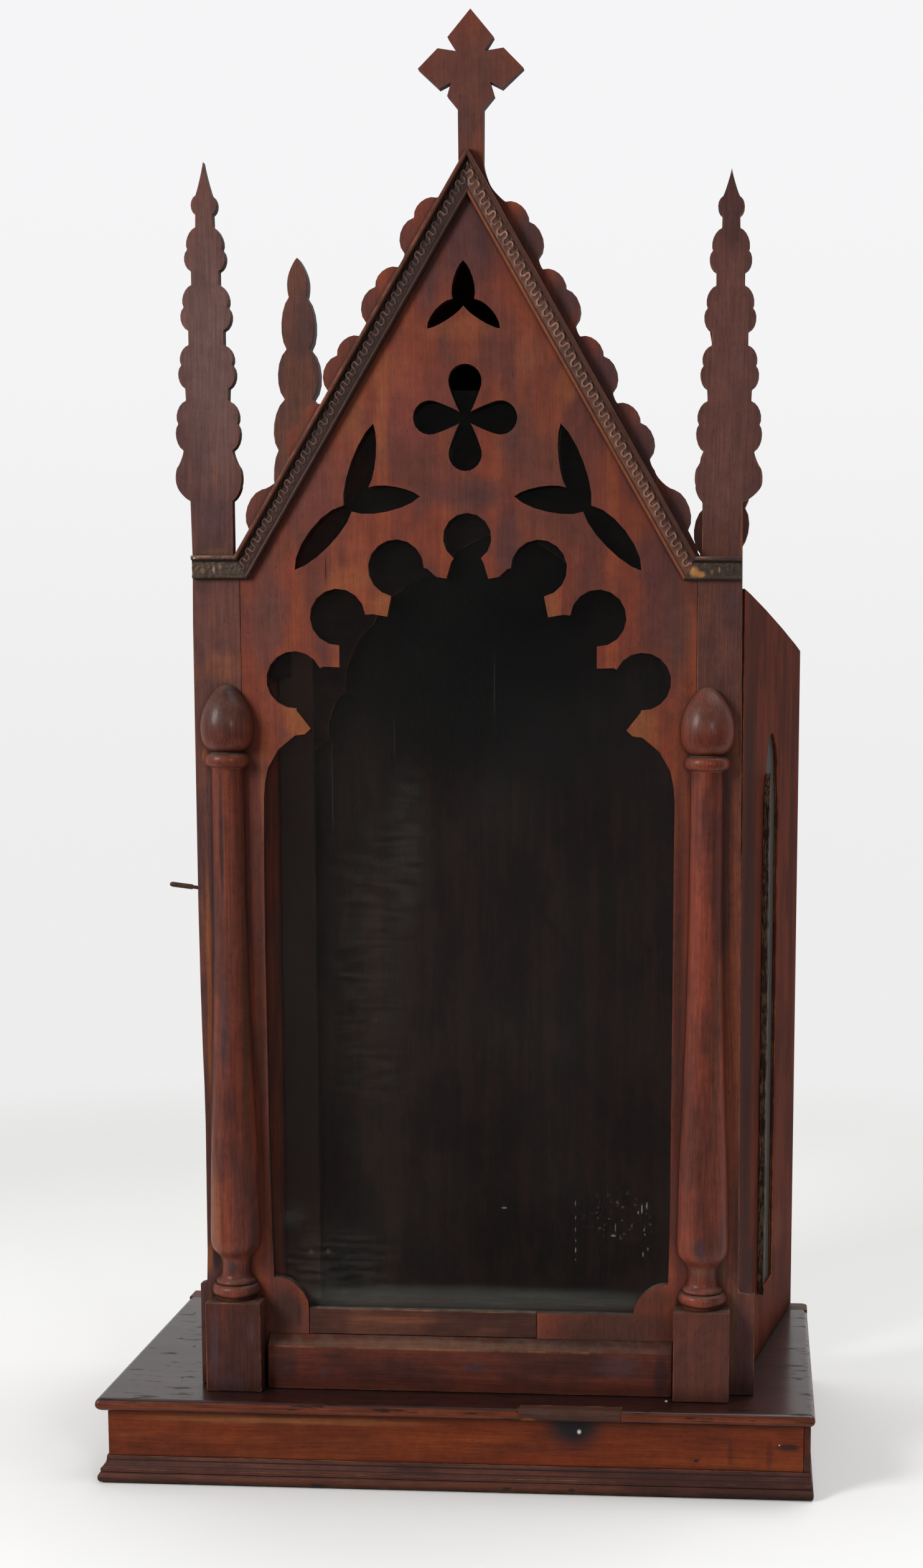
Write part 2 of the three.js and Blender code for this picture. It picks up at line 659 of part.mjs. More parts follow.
// Two sloping boards close the gable from the facade to the back frame.
function addRoof() {
  const front = facadeY + facadeThick + gap;
  const back = backY - gap;
  const drop = roofThick * Math.hypot(1, roofRise);
  for (const [name, side] of [['left', -1], ['right', 1]]) {
    const ridge = 0.4;
    const topZ = (x) => roofPeakZ - 6 - roofRise * x;
    const outline = [
      [ridge, topZ(ridge)], [backStileOuter, topZ(backStileOuter)],
      [backStileOuter, topZ(backStileOuter) - drop], [ridge, topZ(ridge) - drop],
    ];
    const ends = [front, back].map((y) => outline.map(([x, z]) => new THREE.Vector3(side * x, y, z)));
    addMesh(caseGroup, `roof_${name}`, loft(ends, (point) => new THREE.Vector2(point.x, point.z)), woods.inside);
    const railTop = topZ(backStileOuter) - drop - gap;
    addMesh(caseGroup, `side_rail_${name}`,
      boxBetween([Math.min(side * 194, side * backStileOuter), front, 648],
        [Math.max(side * 194, side * backStileOuter), back, railTop]), woods.inside);
  }
}

// ---- Glazed side doors, hinged on their front edges ----

// Outline of a door as [distance from the hinge, z]: its top falls towards the back.
function doorOutline() {
  const shape = new THREE.Shape();
  shape.moveTo(0, 72);
  shape.lineTo(doorLength, 72);
  shape.lineTo(doorLength, 675);
  bow(shape, 0, 718, -2.2);
  shape.closePath();
  return shape;
}

const lancet = { centre: 129, half: 31, sill: 126, spring: 549 };

// The lancet's outline grown by extra, as a closed path.
function lancetPath(extra) {
  const { centre, half, sill, spring } = lancet;
  const path = new THREE.Path();
  const side = half + extra;
  const crownZ = 604 + extra * 1.5;
  path.moveTo(centre - side, sill - extra);
  path.lineTo(centre + side, sill - extra);
  path.lineTo(centre + side, spring);
  path.lineTo(centre + side - 6, spring + 18);
  bow(path, centre, crownZ, -9);
  bow(path, centre - side + 6, spring + 18, -9);
  path.lineTo(centre - side, spring);
  path.closePath();
  return path;
}

// A flat piece drawn in distance and height, standing in the door's own group: its
// outline's distance runs back along Y, and its thickness runs outwards along X.
function doorBoard(shape, inner, thickness, side) {
  const geometry = flatBoard(shape, thickness, 8);
  const frame = new THREE.Matrix4().makeBasis(
    new THREE.Vector3(0, 1, 0), new THREE.Vector3(0, 0, 1), new THREE.Vector3(1, 0, 0));
  geometry.applyMatrix4(frame);
  geometry.translate(inner, 0, 0);
  if (side < 0) {
    geometry.scale(-1, 1, 1);
    return turnedOver(geometry);
  }
  return geometry;
}

function turnedOver(geometry) {
  const position = geometry.attributes.position;
  for (let start = 0; start < position.count; start += 3) {
    const a = new THREE.Vector3().fromBufferAttribute(position, start);
    const b = new THREE.Vector3().fromBufferAttribute(position, start + 1);
    position.setXYZ(start, b.x, b.y, b.z);
    position.setXYZ(start + 1, a.x, a.y, a.z);
  }
  geometry.computeVertexNormals();
  return geometry;
}

function addDoor(name, side, openDeg) {
  const leaf = new THREE.Group();
  leaf.position.set(side * caseHalf, facadeY + facadeThick + 0.5, 0);
  leaf.rotation.z = (-side * openDeg * Math.PI) / 180;
  caseGroup.add(leaf);
  const outline = doorOutline();
  outline.holes.push(lancetPath(0));
  const board = doorBoard(outline, -doorThick, doorThick, side);
  const paneShape = new THREE.Shape(lancetPath(5).getPoints(8));
  const rebate = doorBoard(paneShape, -doorThick - 1, doorThick + 1 - 2.7, side);
  addMesh(leaf, `door_${name}`, cut(board, rebate), woods.door);
  const smaller = new THREE.Shape(lancetPath(4.6).getPoints(8));
  addMesh(leaf, `door_${name}_glass`, doorBoard(smaller, -5.2, 2.2, side), paneGlass);
  const jamb = lancet.centre - lancet.half;
  const bead = polygonShape([
    [jamb - 7, lancet.sill + 2], [jamb - 1, lancet.sill + 2], [jamb - 1, lancet.spring],
    [jamb + 5, lancet.spring + 18], [jamb, lancet.spring + 22], [jamb - 7, lancet.spring + 2],
  ]);
  addMesh(leaf, `door_${name}_putty`, doorBoard(bead, gap, 4.5, side), oldPutty);
}

// A small turned peg sticks out of the left stile's edge.
function addPeg() {
  const profile = [[0, 0], [1.5, 0], [1.5, 4], [2.1, 5.2], [2.1, 21], [1.4, 22.8], [0, 23.3]];
  const geometry = new THREE.LatheGeometry(profile.map(([r, h]) => new THREE.Vector2(r, h)), 12);
  const peg = addMesh(caseGroup, 'side_peg', geometry, woods.turned);
  const tilt = 0.12; // it points slightly upwards
  const outwards = new THREE.Vector3(-Math.cos(tilt), 0, Math.sin(tilt));
  peg.position.set(-caseHalf - 1.9, facadeY + facadeThick / 2, 480);
  peg.quaternion.setFromUnitVectors(new THREE.Vector3(0, 1, 0), outwards);
}

addBaseTop();
addRearStrip();
addFrieze();
addFootMouldings();
addFacade();
addBottomRail();
addColumns();
addCornices();
addFrontGlass();
addBackStiles();
addBackHead();
addBackPanel();
addRoof();
addDoor('left', -1, 0);
addDoor('right', 1, doorAjarDeg);
addPeg();

export default model;
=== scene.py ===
import json
import math

import bmesh
import bpy
from mathutils import Matrix, Vector, noise


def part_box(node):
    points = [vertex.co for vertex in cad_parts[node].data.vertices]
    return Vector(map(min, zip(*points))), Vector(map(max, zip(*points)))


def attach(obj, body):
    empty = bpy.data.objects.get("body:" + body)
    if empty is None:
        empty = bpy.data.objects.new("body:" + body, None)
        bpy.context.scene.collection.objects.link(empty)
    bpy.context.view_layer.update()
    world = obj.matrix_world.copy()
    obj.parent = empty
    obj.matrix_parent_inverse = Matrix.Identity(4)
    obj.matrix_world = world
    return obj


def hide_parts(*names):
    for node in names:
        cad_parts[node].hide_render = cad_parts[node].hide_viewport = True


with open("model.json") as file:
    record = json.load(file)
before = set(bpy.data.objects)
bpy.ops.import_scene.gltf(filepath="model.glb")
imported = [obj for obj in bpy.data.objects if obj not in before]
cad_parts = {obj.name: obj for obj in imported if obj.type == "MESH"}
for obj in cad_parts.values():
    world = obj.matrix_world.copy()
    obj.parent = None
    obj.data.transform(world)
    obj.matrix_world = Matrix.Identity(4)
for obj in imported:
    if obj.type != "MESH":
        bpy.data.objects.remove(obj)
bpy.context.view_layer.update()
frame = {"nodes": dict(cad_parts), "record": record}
bodyOf = {node: body for body, nodes in frame["record"]["behaviour"]["bodies"].items() for node in nodes}
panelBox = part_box("front_panel")
caseX = (panelBox[0].x + panelBox[1].x) / 2  # the case's middle
faceY = panelBox[0].y  # the facade's front face
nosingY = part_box("base_top")[0].y  # the front of the base
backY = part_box("back_stile_left")[0].y  # the back frame's inner face
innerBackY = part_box("back_panel")[0].y
mm = 0.001
noise.seed_set(1)  # noise_vector would change from run to run without it
print("frame loaded with", len(frame["nodes"]), "pieces")


class Value:  # one output socket that can stand in a sum
    def __init__(self, finish, socket):
        self.finish = finish
        self.socket = socket

    def maths(self, operation, other=None, swapped=False):
        terms = [self] if other is None else [self, other]
        if swapped:
            terms.reverse()
        return self.finish.node("ShaderNodeMath", {"operation": operation}, dict(enumerate(terms)))

    def __add__(self, other):
        return self.maths("ADD", other)

    def __sub__(self, other):
        return self.maths("SUBTRACT", other)

    def __rsub__(self, other):
        return self.maths("SUBTRACT", other, swapped=True)

    def __mul__(self, other):
        return self.maths("MULTIPLY", other)

    __radd__ = __add__
    __rmul__ = __mul__

    def most(self, other):
        return self.maths("MAXIMUM", other)

    def fade(self, low, high, start=0.0, end=1.0):  # eases from start at low to end at high
        settings = {"interpolation_type": "SMOOTHSTEP"}
        inputs = {"Value": self, "From Min": low, "From Max": high, "To Min": start, "To Max": end}
        return self.finish.node("ShaderNodeMapRange", settings, inputs)


class Finish:  # a new material, or the tree of something else such as a world, while it is being built
    def __init__(self, name, tree=None):
        if tree is None:
            self.material = bpy.data.materials.new(name)
            self.material.use_nodes = True
            tree = self.material.node_tree
        self.tree = tree
        self.tree.nodes.clear()

    def node(self, kind, settings, inputs, output=0):
        made = self.tree.nodes.new(kind)
        for key, value in settings.items():
            setattr(made, key, value)
        for key, value in inputs.items():
            if isinstance(value, Value):
                self.tree.links.new(value.socket, made.inputs[key])
            else:
                made.inputs[key].default_value = value
        return Value(self, made.outputs[output]) if made.outputs else None

    def place(self):  # object coordinates, in metres
        return self.node("ShaderNodeTexCoord", {}, {}, "Object")

    def turned(self, vector, rotation):
        return self.node("ShaderNodeMapping", {}, {"Vector": vector, "Rotation": rotation})

    def stretched(self, vector, scale):
        return self.node("ShaderNodeVectorMath", {"operation": "MULTIPLY"}, {0: vector, 1: scale})

    def moved(self, vector, offset):
        return self.node("ShaderNodeVectorMath", {"operation": "ADD"}, {0: vector, 1: offset})

    def distance(self, vector):  # from the vector's own zero
        return self.node("ShaderNodeVectorMath", {"operation": "LENGTH"}, {0: vector}, "Value")

    def along(self, vector, axis):
        return self.node("ShaderNodeSeparateXYZ", {}, {0: vector}, axis)

    def noise(self, vector, scale=1.0, detail=2.0, rough=0.5, output=0):
        inputs = {"Vector": vector, "Scale": scale, "Detail": detail, "Roughness": rough}
        return self.node("ShaderNodeTexNoise", {}, inputs, output)

    def drawnOut(self, vector, stretch, detail=2.0, rough=0.5, output=0):  # noise that runs one way
        return self.noise(self.stretched(vector, stretch), 1.0, detail, rough, output)

    def mix(self, share, first, second, blend="MIX"):
        settings = {"data_type": "RGBA", "blend_type": blend}
        return self.node("ShaderNodeMix", settings, {0: share, 6: rgba(first), 7: rgba(second)}, 2)

    def grey(self, value):  # a number as a colour
        return self.node("ShaderNodeCombineColor", {}, {0: value, 1: value, 2: value})

    # 1 in the middle, 0 past size, in metres. ragged moves the edge in and out by up to half of wander.
    def spot(self, vector, centre, size, ragged=None, wander=1.1, core=0.3):
        offset = self.moved(vector, tuple(-value for value in centre))
        away = self.distance(self.stretched(offset, tuple(1 / value for value in size)))
        if ragged is not None:
            away = away + (ragged - 0.5) * wander
        return away.fade(1.0, core)

    def attribute(self, name):
        return self.node("ShaderNodeAttribute", {"attribute_name": name}, {}, "Fac")

    def done(self, surface):
        self.node("ShaderNodeOutputMaterial", {}, {"Surface": surface})
        return self.material


def rgba(colour):
    return colour if isinstance(colour, Value) else (*colour, 1.0)


def at(x, z, y=faceY):  # a place on the facade, in millimetres from the case's middle line
    return (caseX + x * mm, y, z * mm)


varnish = {  # what a board has unless it says otherwise
    "grain": "up",
    "warmth": 0.75,  # share of the warm bands, then of the clouds
    "cloudiness": 0.7,
    "lineDepth": 0.2,  # how dark the grain's lines and its pores are
    "poreDepth": 0.4,
    "grimeAndShade": 0.8,
    "dusty": 0.0,
    "wear": 0.5,
    "roughness": 0.5,
    "specular": 0.13,
    "coat": 0.03,
    "coatRoughness": 0.22,
    "bump": 0.25,
    "bumpDepth": 0.0008,
    "nookReach": 0.022,  # how near two faces the corners darken, as dirt and painted shade, in metres
    # crevice: the near-black of painted shade and dirt in corners and moulding hollows, and of open grain
    "crevice": (0.010, 0.006, 0.005),
    "dust": (0.10, 0.092, 0.070),
    "rubbed": (0.36, 0.135, 0.045),
    "patches": [],
    "marks": [],
}
grainTurns = {"up": (0, 0, 0), "across": (0, math.pi / 2, 0), "back": (math.pi / 2, 0, 0)}
figure = {  # noise drawn out along the grain: rates across it twice and along it, detail, roughness
    "cloud": ((26, 26, 11), 3, 0.6),
    "band": ((90, 90, 4), 2),
    "lines": ((700, 700, 22), 2, 0.6),
    "pores": ((2100, 2100, 170), 1),
}
swayNoise = ((6, 6, 1.8), 1, 0.5, 1)  # the same, from the colour output, which has three parts
swayReach = (0.02, 0.02, 0)
dashNoise = ((330, 150, 34), 2, 0.6)
stains = {  # noise that ignores the grain
    "blotch": (110, 3, 0.62),
    "patchy": (34, 3, 0.65),
    "scuffed": (170, 2),
}


def woodNoises(finish, place, look):  # by name, the ones drawn out along the grain first
    grain = look["grain"]
    turn = grainTurns[grain] if isinstance(grain, str) else (0, grain, 0)
    board = finish.moved(finish.turned(place, turn), (look["seed"] * 0.37, look["seed"] * 0.11, 0))
    sway = finish.moved(finish.drawnOut(board, *swayNoise), (-0.5, -0.5, -0.5))
    board = finish.moved(board, finish.stretched(sway, swayReach))
    noises = {layer: finish.drawnOut(board, *settings) for layer, settings in figure.items()}
    noises.update({layer: finish.noise(place, *settings) for layer, settings in stains.items()})
    if "dashes" in look:
        noises["dashes"] = finish.drawnOut(board, *dashNoise)
    return noises


# How far a point is from facing along the board's thickness, where the sawn edges show.
def sawnShare(finish, axis, share):
    facing = finish.along(finish.node("ShaderNodeNewGeometry", {}, {}, "True Normal"), axis)
    return facing.maths("ABSOLUTE").fade(0.8, 0.35) * share


def mouldingTones(finish, look, blotch, colour):  # by the attributes that bentMoulding leaves
    relief, bead, tint = [finish.attribute(name) for name in ("relief", "bead", "tint")]
    colour = finish.mix(tint, colour, look["fillet"])
    # painted shade and dirt in the groove and in the stamping's hollows
    colour = finish.mix(relief.fade(0.3, 0.05) * 0.8, colour, look["crevice"])
    # painted highlight and wear on the stamped line's crowns
    colour = finish.mix(relief.fade(0.5, 0.95) * blotch.fade(0.25, 0.6, 0.45, 1), colour, look["ridge"])
    return finish.mix(bead * blotch.fade(0.2, 0.6, 0.5, 1), colour, look["beadTone"])


# Old varnished mahogany. look gives its colours, the way its grain runs and its patches,
# which are set out in millimetres: place, half width, half height, tone and share.
def makeWood(name, look):
    look = {**varnish, **look}
    finish = Finish(name)
    place = finish.place()
    noises = woodNoises(finish, place, look)
    cloud, band, lines, pores, blotch = [
        noises[layer] for layer in ("cloud", "band", "lines", "pores", "blotch")]

    colour = finish.mix(band.fade(0.4, 0.66) * look["warmth"], look["base"], look["warm"])
    colour = finish.mix(cloud.fade(0.43, 0.62) * look["cloudiness"], colour, look["cloud"])
    for x, z, wide, high, tone, share in look["patches"]:
        patch = finish.spot(place, at(x, z), (wide * mm, 1, high * mm), cloud)
        colour = finish.mix(patch * share, colour, tone)
    gloss = look["coat"]
    if "edge" in look:  # faces across the board's thickness get their own tone: painted shade on the facade boards' sawn edges, the nosing's red-brown on the base top
        axis, tone, share = look["edge"]
        sideShadeAndTone = sawnShare(finish, axis, share)
        colour = finish.mix(sideShadeAndTone, colour, tone)
        gloss = (1 - sideShadeAndTone) * gloss
    if "ridge" in look:
        colour = mouldingTones(finish, look, blotch, colour)

    # the grain's own lines, then dirt and painted shade in the corners, dust on the ledges and wear on the
    # arrises
    shade = lines.fade(0.3, 0.72, 1 - look["lineDepth"], 1 + look["lineDepth"] * 0.5)
    shade = shade * pores.fade(0.6, 0.74, 1, 1 - look["poreDepth"])
    colour = finish.mix(1.0, colour, finish.grey(shade * blotch.fade(0.25, 0.75, 0.88, 1.1)), "MULTIPLY")
    # painted shade and dirt: ambient occlusion darkens the colour towards crevice where faces meet
    nook = finish.node("ShaderNodeAmbientOcclusion", {"samples": 6}, {"Distance": look["nookReach"]}, "AO")
    grimeAndShade = nook.fade(0.92, 0.38) * blotch.fade(0.3, 0.62, 0.6, 1) * look["grimeAndShade"]
    colour = finish.mix(grimeAndShade, colour, look["crevice"])
    upward = finish.along(finish.node("ShaderNodeNewGeometry", {}, {}, "Normal"), 2)
    ledge = upward.fade(0.55, 0.9) * blotch.fade(0.38, 0.62, 0.3, 1) * look["dusty"]
    colour = finish.mix(ledge, colour, look["dust"])
    worn = noises["patchy"].fade(0.42, 0.62) * noises["scuffed"].fade(0.3, 0.6, 0.25, 1)
    colour = finish.mix(finish.attribute("rub") * worn * look["wear"], colour, look["rubbed"])

    for centre, size, tone in look["marks"]:  # small and sharp, such as wormholes and nails
        mark = finish.spot(place, centre, tuple(value * mm for value in size))
        colour = finish.mix(mark, colour, tone)
        gloss = (1 - mark) * gloss
    if "dashes" in look:  # open grain that breaks the shine
        dash = noises["dashes"].fade(0.60, 0.66) * look["dashes"]
        colour = finish.mix(dash, colour, look["crevice"])
        gloss = (1 - dash) * gloss
    rough = look["roughness"] + (cloud - 0.5) * 0.2 + (blotch - 0.5) * 0.12 + grimeAndShade * 0.2 + ledge * 0.3
    height = lines * 0.35 - pores.fade(0.6, 0.72) * 0.8 + blotch * 0.3 + band * 0.5
    bump = finish.node("ShaderNodeBump", {}, {
        "Strength": look["bump"], "Distance": look["bumpDepth"], "Height": height,
    })
    return finish.done(finish.node("ShaderNodeBsdfPrincipled", {}, {
        "Base Color": colour, "Roughness": rough, "Normal": bump, "Specular IOR Level": look["specular"],
        "Coat Weight": gloss, "Coat Roughness": look["coatRoughness"],
    }))


# A piece from a finished bmesh, riding on a body and standing for the CAD nodes it is named after.
def addPiece(name, mesh, material, body, nodes, sharpDeg=38):
    data = bpy.data.meshes.new(name)
    mesh.to_mesh(data)
    mesh.free()
    data.materials.append(material)
    data.polygons.foreach_set("use_smooth", [True] * len(data.polygons))
    data.set_sharp_from_angle(angle=math.radians(sharpDeg))
    piece = bpy.data.objects.new(name, data)
    bpy.context.scene.collection.objects.link(piece)
    weighted = piece.modifiers.new("flat faces stay flat", "WEIGHTED_NORMAL")
    weighted.keep_sharp = True
    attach(piece, body)
    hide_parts(*nodes)
    return piece


softening = {
    "weld": 1e-5,  # metres between points that are one
    "flatDeg": 1,  # faces that turn less than this are one
    "arrisDeg": 48,  # corners sharper than this are taken off
    "segments": 2,
}


def mergedCopy(node, look=softening):  # the CAD solid with its loose triangles joined up and its flats whole
    mesh = bmesh.new()
    mesh.from_mesh(frame["nodes"][node].data)
    bmesh.ops.remove_doubles(mesh, verts=mesh.verts, dist=look["weld"])
    flat = math.radians(look["flatDeg"])
    bmesh.ops.dissolve_limit(mesh, angle_limit=flat, verts=mesh.verts, edges=mesh.edges)
    return mesh


def closeUp(mesh, weld):  # joins what meets, closes the flat back and turns every face outwards
    bmesh.ops.remove_doubles(mesh, verts=mesh.verts, dist=weld)
    bmesh.ops.holes_fill(mesh, edges=[edge for edge in mesh.edges if edge.is_boundary], sides=0)
    bmesh.ops.recalc_face_normals(mesh, faces=mesh.faces)


# A board with its arrises taken off, its bevels marked so that the finish can wear there.
def wornBoard(node, width, material, look=softening):
    mesh = mergedCopy(node)
    rub = mesh.loops.layers.float.new("rub")
    sharp = math.radians(look["arrisDeg"])
    arrises = [edge for edge in mesh.edges if edge.is_manifold and edge.calc_face_angle() > sharp]
    bevelled = bmesh.ops.bevel(
        mesh, geom=arrises, offset=width, offset_type="OFFSET", affect="EDGES", segments=look["segments"],
        profile=0.5, material=-1, clamp_overlap=True,
    )
    for face in bevelled["faces"]:
        for loop in face.loops:
            loop[rub] = 1.0
    return addPiece(node + "_worn", mesh, material, bodyOf[node], [node])


# The tones that old varnish, bare wood and filler have gone, then the families of boards.
purple = (0.070, 0.034, 0.037)
orange = (0.30, 0.095, 0.034)
tan = (0.16, 0.075, 0.040)
red = (0.150, 0.040, 0.022)
inky = (0.016, 0.013, 0.015)
# painted shade: the dark tone of the sawn edges, which stand in their own shade; also a dark tone for gaps
# and lines in the patches and marks
sawn = (0.030, 0.014, 0.014)
mauve = (0.082, 0.038, 0.037)
chalk = (0.62, 0.58, 0.50)
facadeWood = {
    "base": (0.200, 0.0455, 0.026), "warm": (0.275, 0.066, 0.0285), "cloud": (0.100, 0.037, 0.031),
    "edge": (1, sawn, 0.85),  # the axis its main faces look along, the tone of the other faces, painted shade on its sawn edges, and its share
}
greyedWood = {
    "base": (0.125, 0.047, 0.037), "warm": (0.18, 0.060, 0.036), "cloud": (0.076, 0.035, 0.034),
    "edge": (1, sawn, 0.85),
}
darkWood = {"base": (0.074, 0.018, 0.009), "warm": (0.105, 0.027, 0.012), "cloud": (0.042, 0.016, 0.013)}
insideWood = {"base": (0.024, 0.0125, 0.0105), "warm": (0.038, 0.017, 0.012), "cloud": (0.014, 0.008, 0.007)}

panelPatches = [
    (2, 985, 34, 62, purple, 0.75), (-30, 950, 14, 36, purple, 0.5),
    (48, 893, 18, 22, (0.26, 0.075, 0.035), 0.5), (88, 897, 12, 24, purple, 0.6),
    (110, 852, 14, 28, purple, 0.65), (134, 806, 16, 30, purple, 0.65), (0, 790, 46, 17, purple, 0.55),
    (32, 752, 15, 40, purple, 0.7), (-124, 795, 18, 30, purple, 0.35), (150, 738, 26, 32, purple, 0.6),
    (146, 695, 18, 36, purple, 0.5), (-150, 700, 14, 30, purple, 0.45), (-66, 842, 6, 42, orange, 0.6),
    (-90, 850, 14, 30, orange, 0.35), (78, 872, 14, 24, orange, 0.55), (-66, 704, 14, 16, orange, 0.7),
    (64, 700, 12, 18, orange, 0.6), (-88, 726, 26, 14, orange, 0.4), (-132, 612, 20, 28, orange, 0.7),
    (136, 612, 20, 28, orange, 0.7), (0, 914, 46, 12, orange, 0.35), (-60, 880, 26, 24, orange, 0.3),
    (-105, 712, 16, 20, orange, 0.4), (4, 1095, 60, 62, (0.115, 0.046, 0.036), 0.8),
    (52, 985, 20, 30, mauve, 0.9), (78, 938, 20, 28, mauve, 0.85), (108, 884, 20, 28, mauve, 0.85),
    (138, 830, 22, 28, mauve, 0.85), (166, 778, 20, 28, mauve, 0.8),
    (-152, 134, 24, 30, (0.045, 0.022, 0.016), 0.85), (-141, 130, 3, 16, inky, 0.5),
    (150, 128, 12, 18, sawn, 0.5), (152, 150, 18, 12, (0.10, 0.036, 0.022), 0.7),
    # painted shadow and grime: the dark strip at x -162 stands for the left column's cast shadow on the jamb
    (-162, 230, 5, 100, (0.04, 0.018, 0.012), 0.7), (112, 122, 66, 34, (0.080, 0.030, 0.020), 1.0),
    (40, 830, 22, 40, (0.085, 0.038, 0.033), 0.6), (-130, 843, 8, 22, (0.14, 0.05, 0.03), 0.7),
    (-52, 985, 19, 28, mauve, 0.35), (-80, 936, 19, 26, mauve, 0.3), (-108, 884, 17, 24, mauve, 0.25),
    (167, 400, 6, 240, (0.070, 0.025, 0.018), 0.85), (0, 1062, 12, 28, (0.085, 0.04, 0.033), 0.6),
    (-160, 690, 17, 50, (0.100, 0.045, 0.037), 0.6), (164, 690, 16, 60, (0.085, 0.042, 0.036), 0.7),
    (-110, 790, 45, 60, (0.178, 0.049, 0.035), 0.55), (-45, 850, 30, 45, (0.235, 0.055, 0.038), 0.65),
    # painted shadow and grime: the dark strip at x -168 stands for the left column's cast shadow on the jamb
    (70, 790, 45, 70, (0.092, 0.038, 0.031), 0.6), (-168, 380, 5, 240, (0.070, 0.025, 0.015), 0.8),
    (-164, 560, 3, 60, orange, 0.5),
]
hairCrack = [(at(-111.5, 731), (0.55, 40, 17), inky), (at(-112, 708), (0.4, 40, 9), inky)]
leftPatches = [
    (-200, 770, 16, 34, purple, 0.7), (-206, 840, 10, 60, purple, 0.35), (-198, 744, 19, 4, tan, 0.8),
    (-196, 655, 22, 16, orange, 0.3), (-210, 390, 3.2, 210, orange, 0.75), (-209.5, 585, 3, 8, orange, 0.9),
    (-174, 589, 4, 6, orange, 0.8), (-168, 470, 5, 90, red, 0.55), (-164, 250, 4, 120, orange, 0.35),
    (-214, 175, 4, 20, orange, 0.7), (-177.5, 173, 2, 9, orange, 1.0), (-214, 110, 2.2, 70, orange, 0.8),
    (-166.5, 133, 1.2, 14, orange, 0.9), (-200, 900, 40, 140, (0.150, 0.079, 0.070), 0.75),
    # painted shadow: the dark strips at x -170 and -174 stand for the left column's cast shadow on the stile
    (-208, 176, 5, 14, inky, 0.75), (-170, 235, 7, 75, (0.03, 0.015, 0.011), 0.85),
    (-174, 420, 3.5, 150, (0.05, 0.022, 0.015), 0.7),
]
rightPatches = [
    (205, 705, 14, 24, purple, 0.5), (214, 765, 2.5, 32, orange, 0.7),
    (211, 380, 9, 280, (0.24, 0.066, 0.034), 0.95), (200, 800, 30, 50, (0.150, 0.062, 0.050), 0.7),
    (168, 585, 4, 10, orange, 0.7), (170, 176, 5, 12, tan, 0.7),
    (203, 900, 40, 140, (0.162, 0.064, 0.052), 0.75), (206, 176, 4, 14, tan, 0.7),
    (214, 120, 5, 50, tan, 0.8), (221, 110, 8, 50, purple, 0.5),
]
shadedStile = ((150, 9, 500), (0.038, 0.022, 0.018))  # painted shade: the back frame is darker inside the case than out
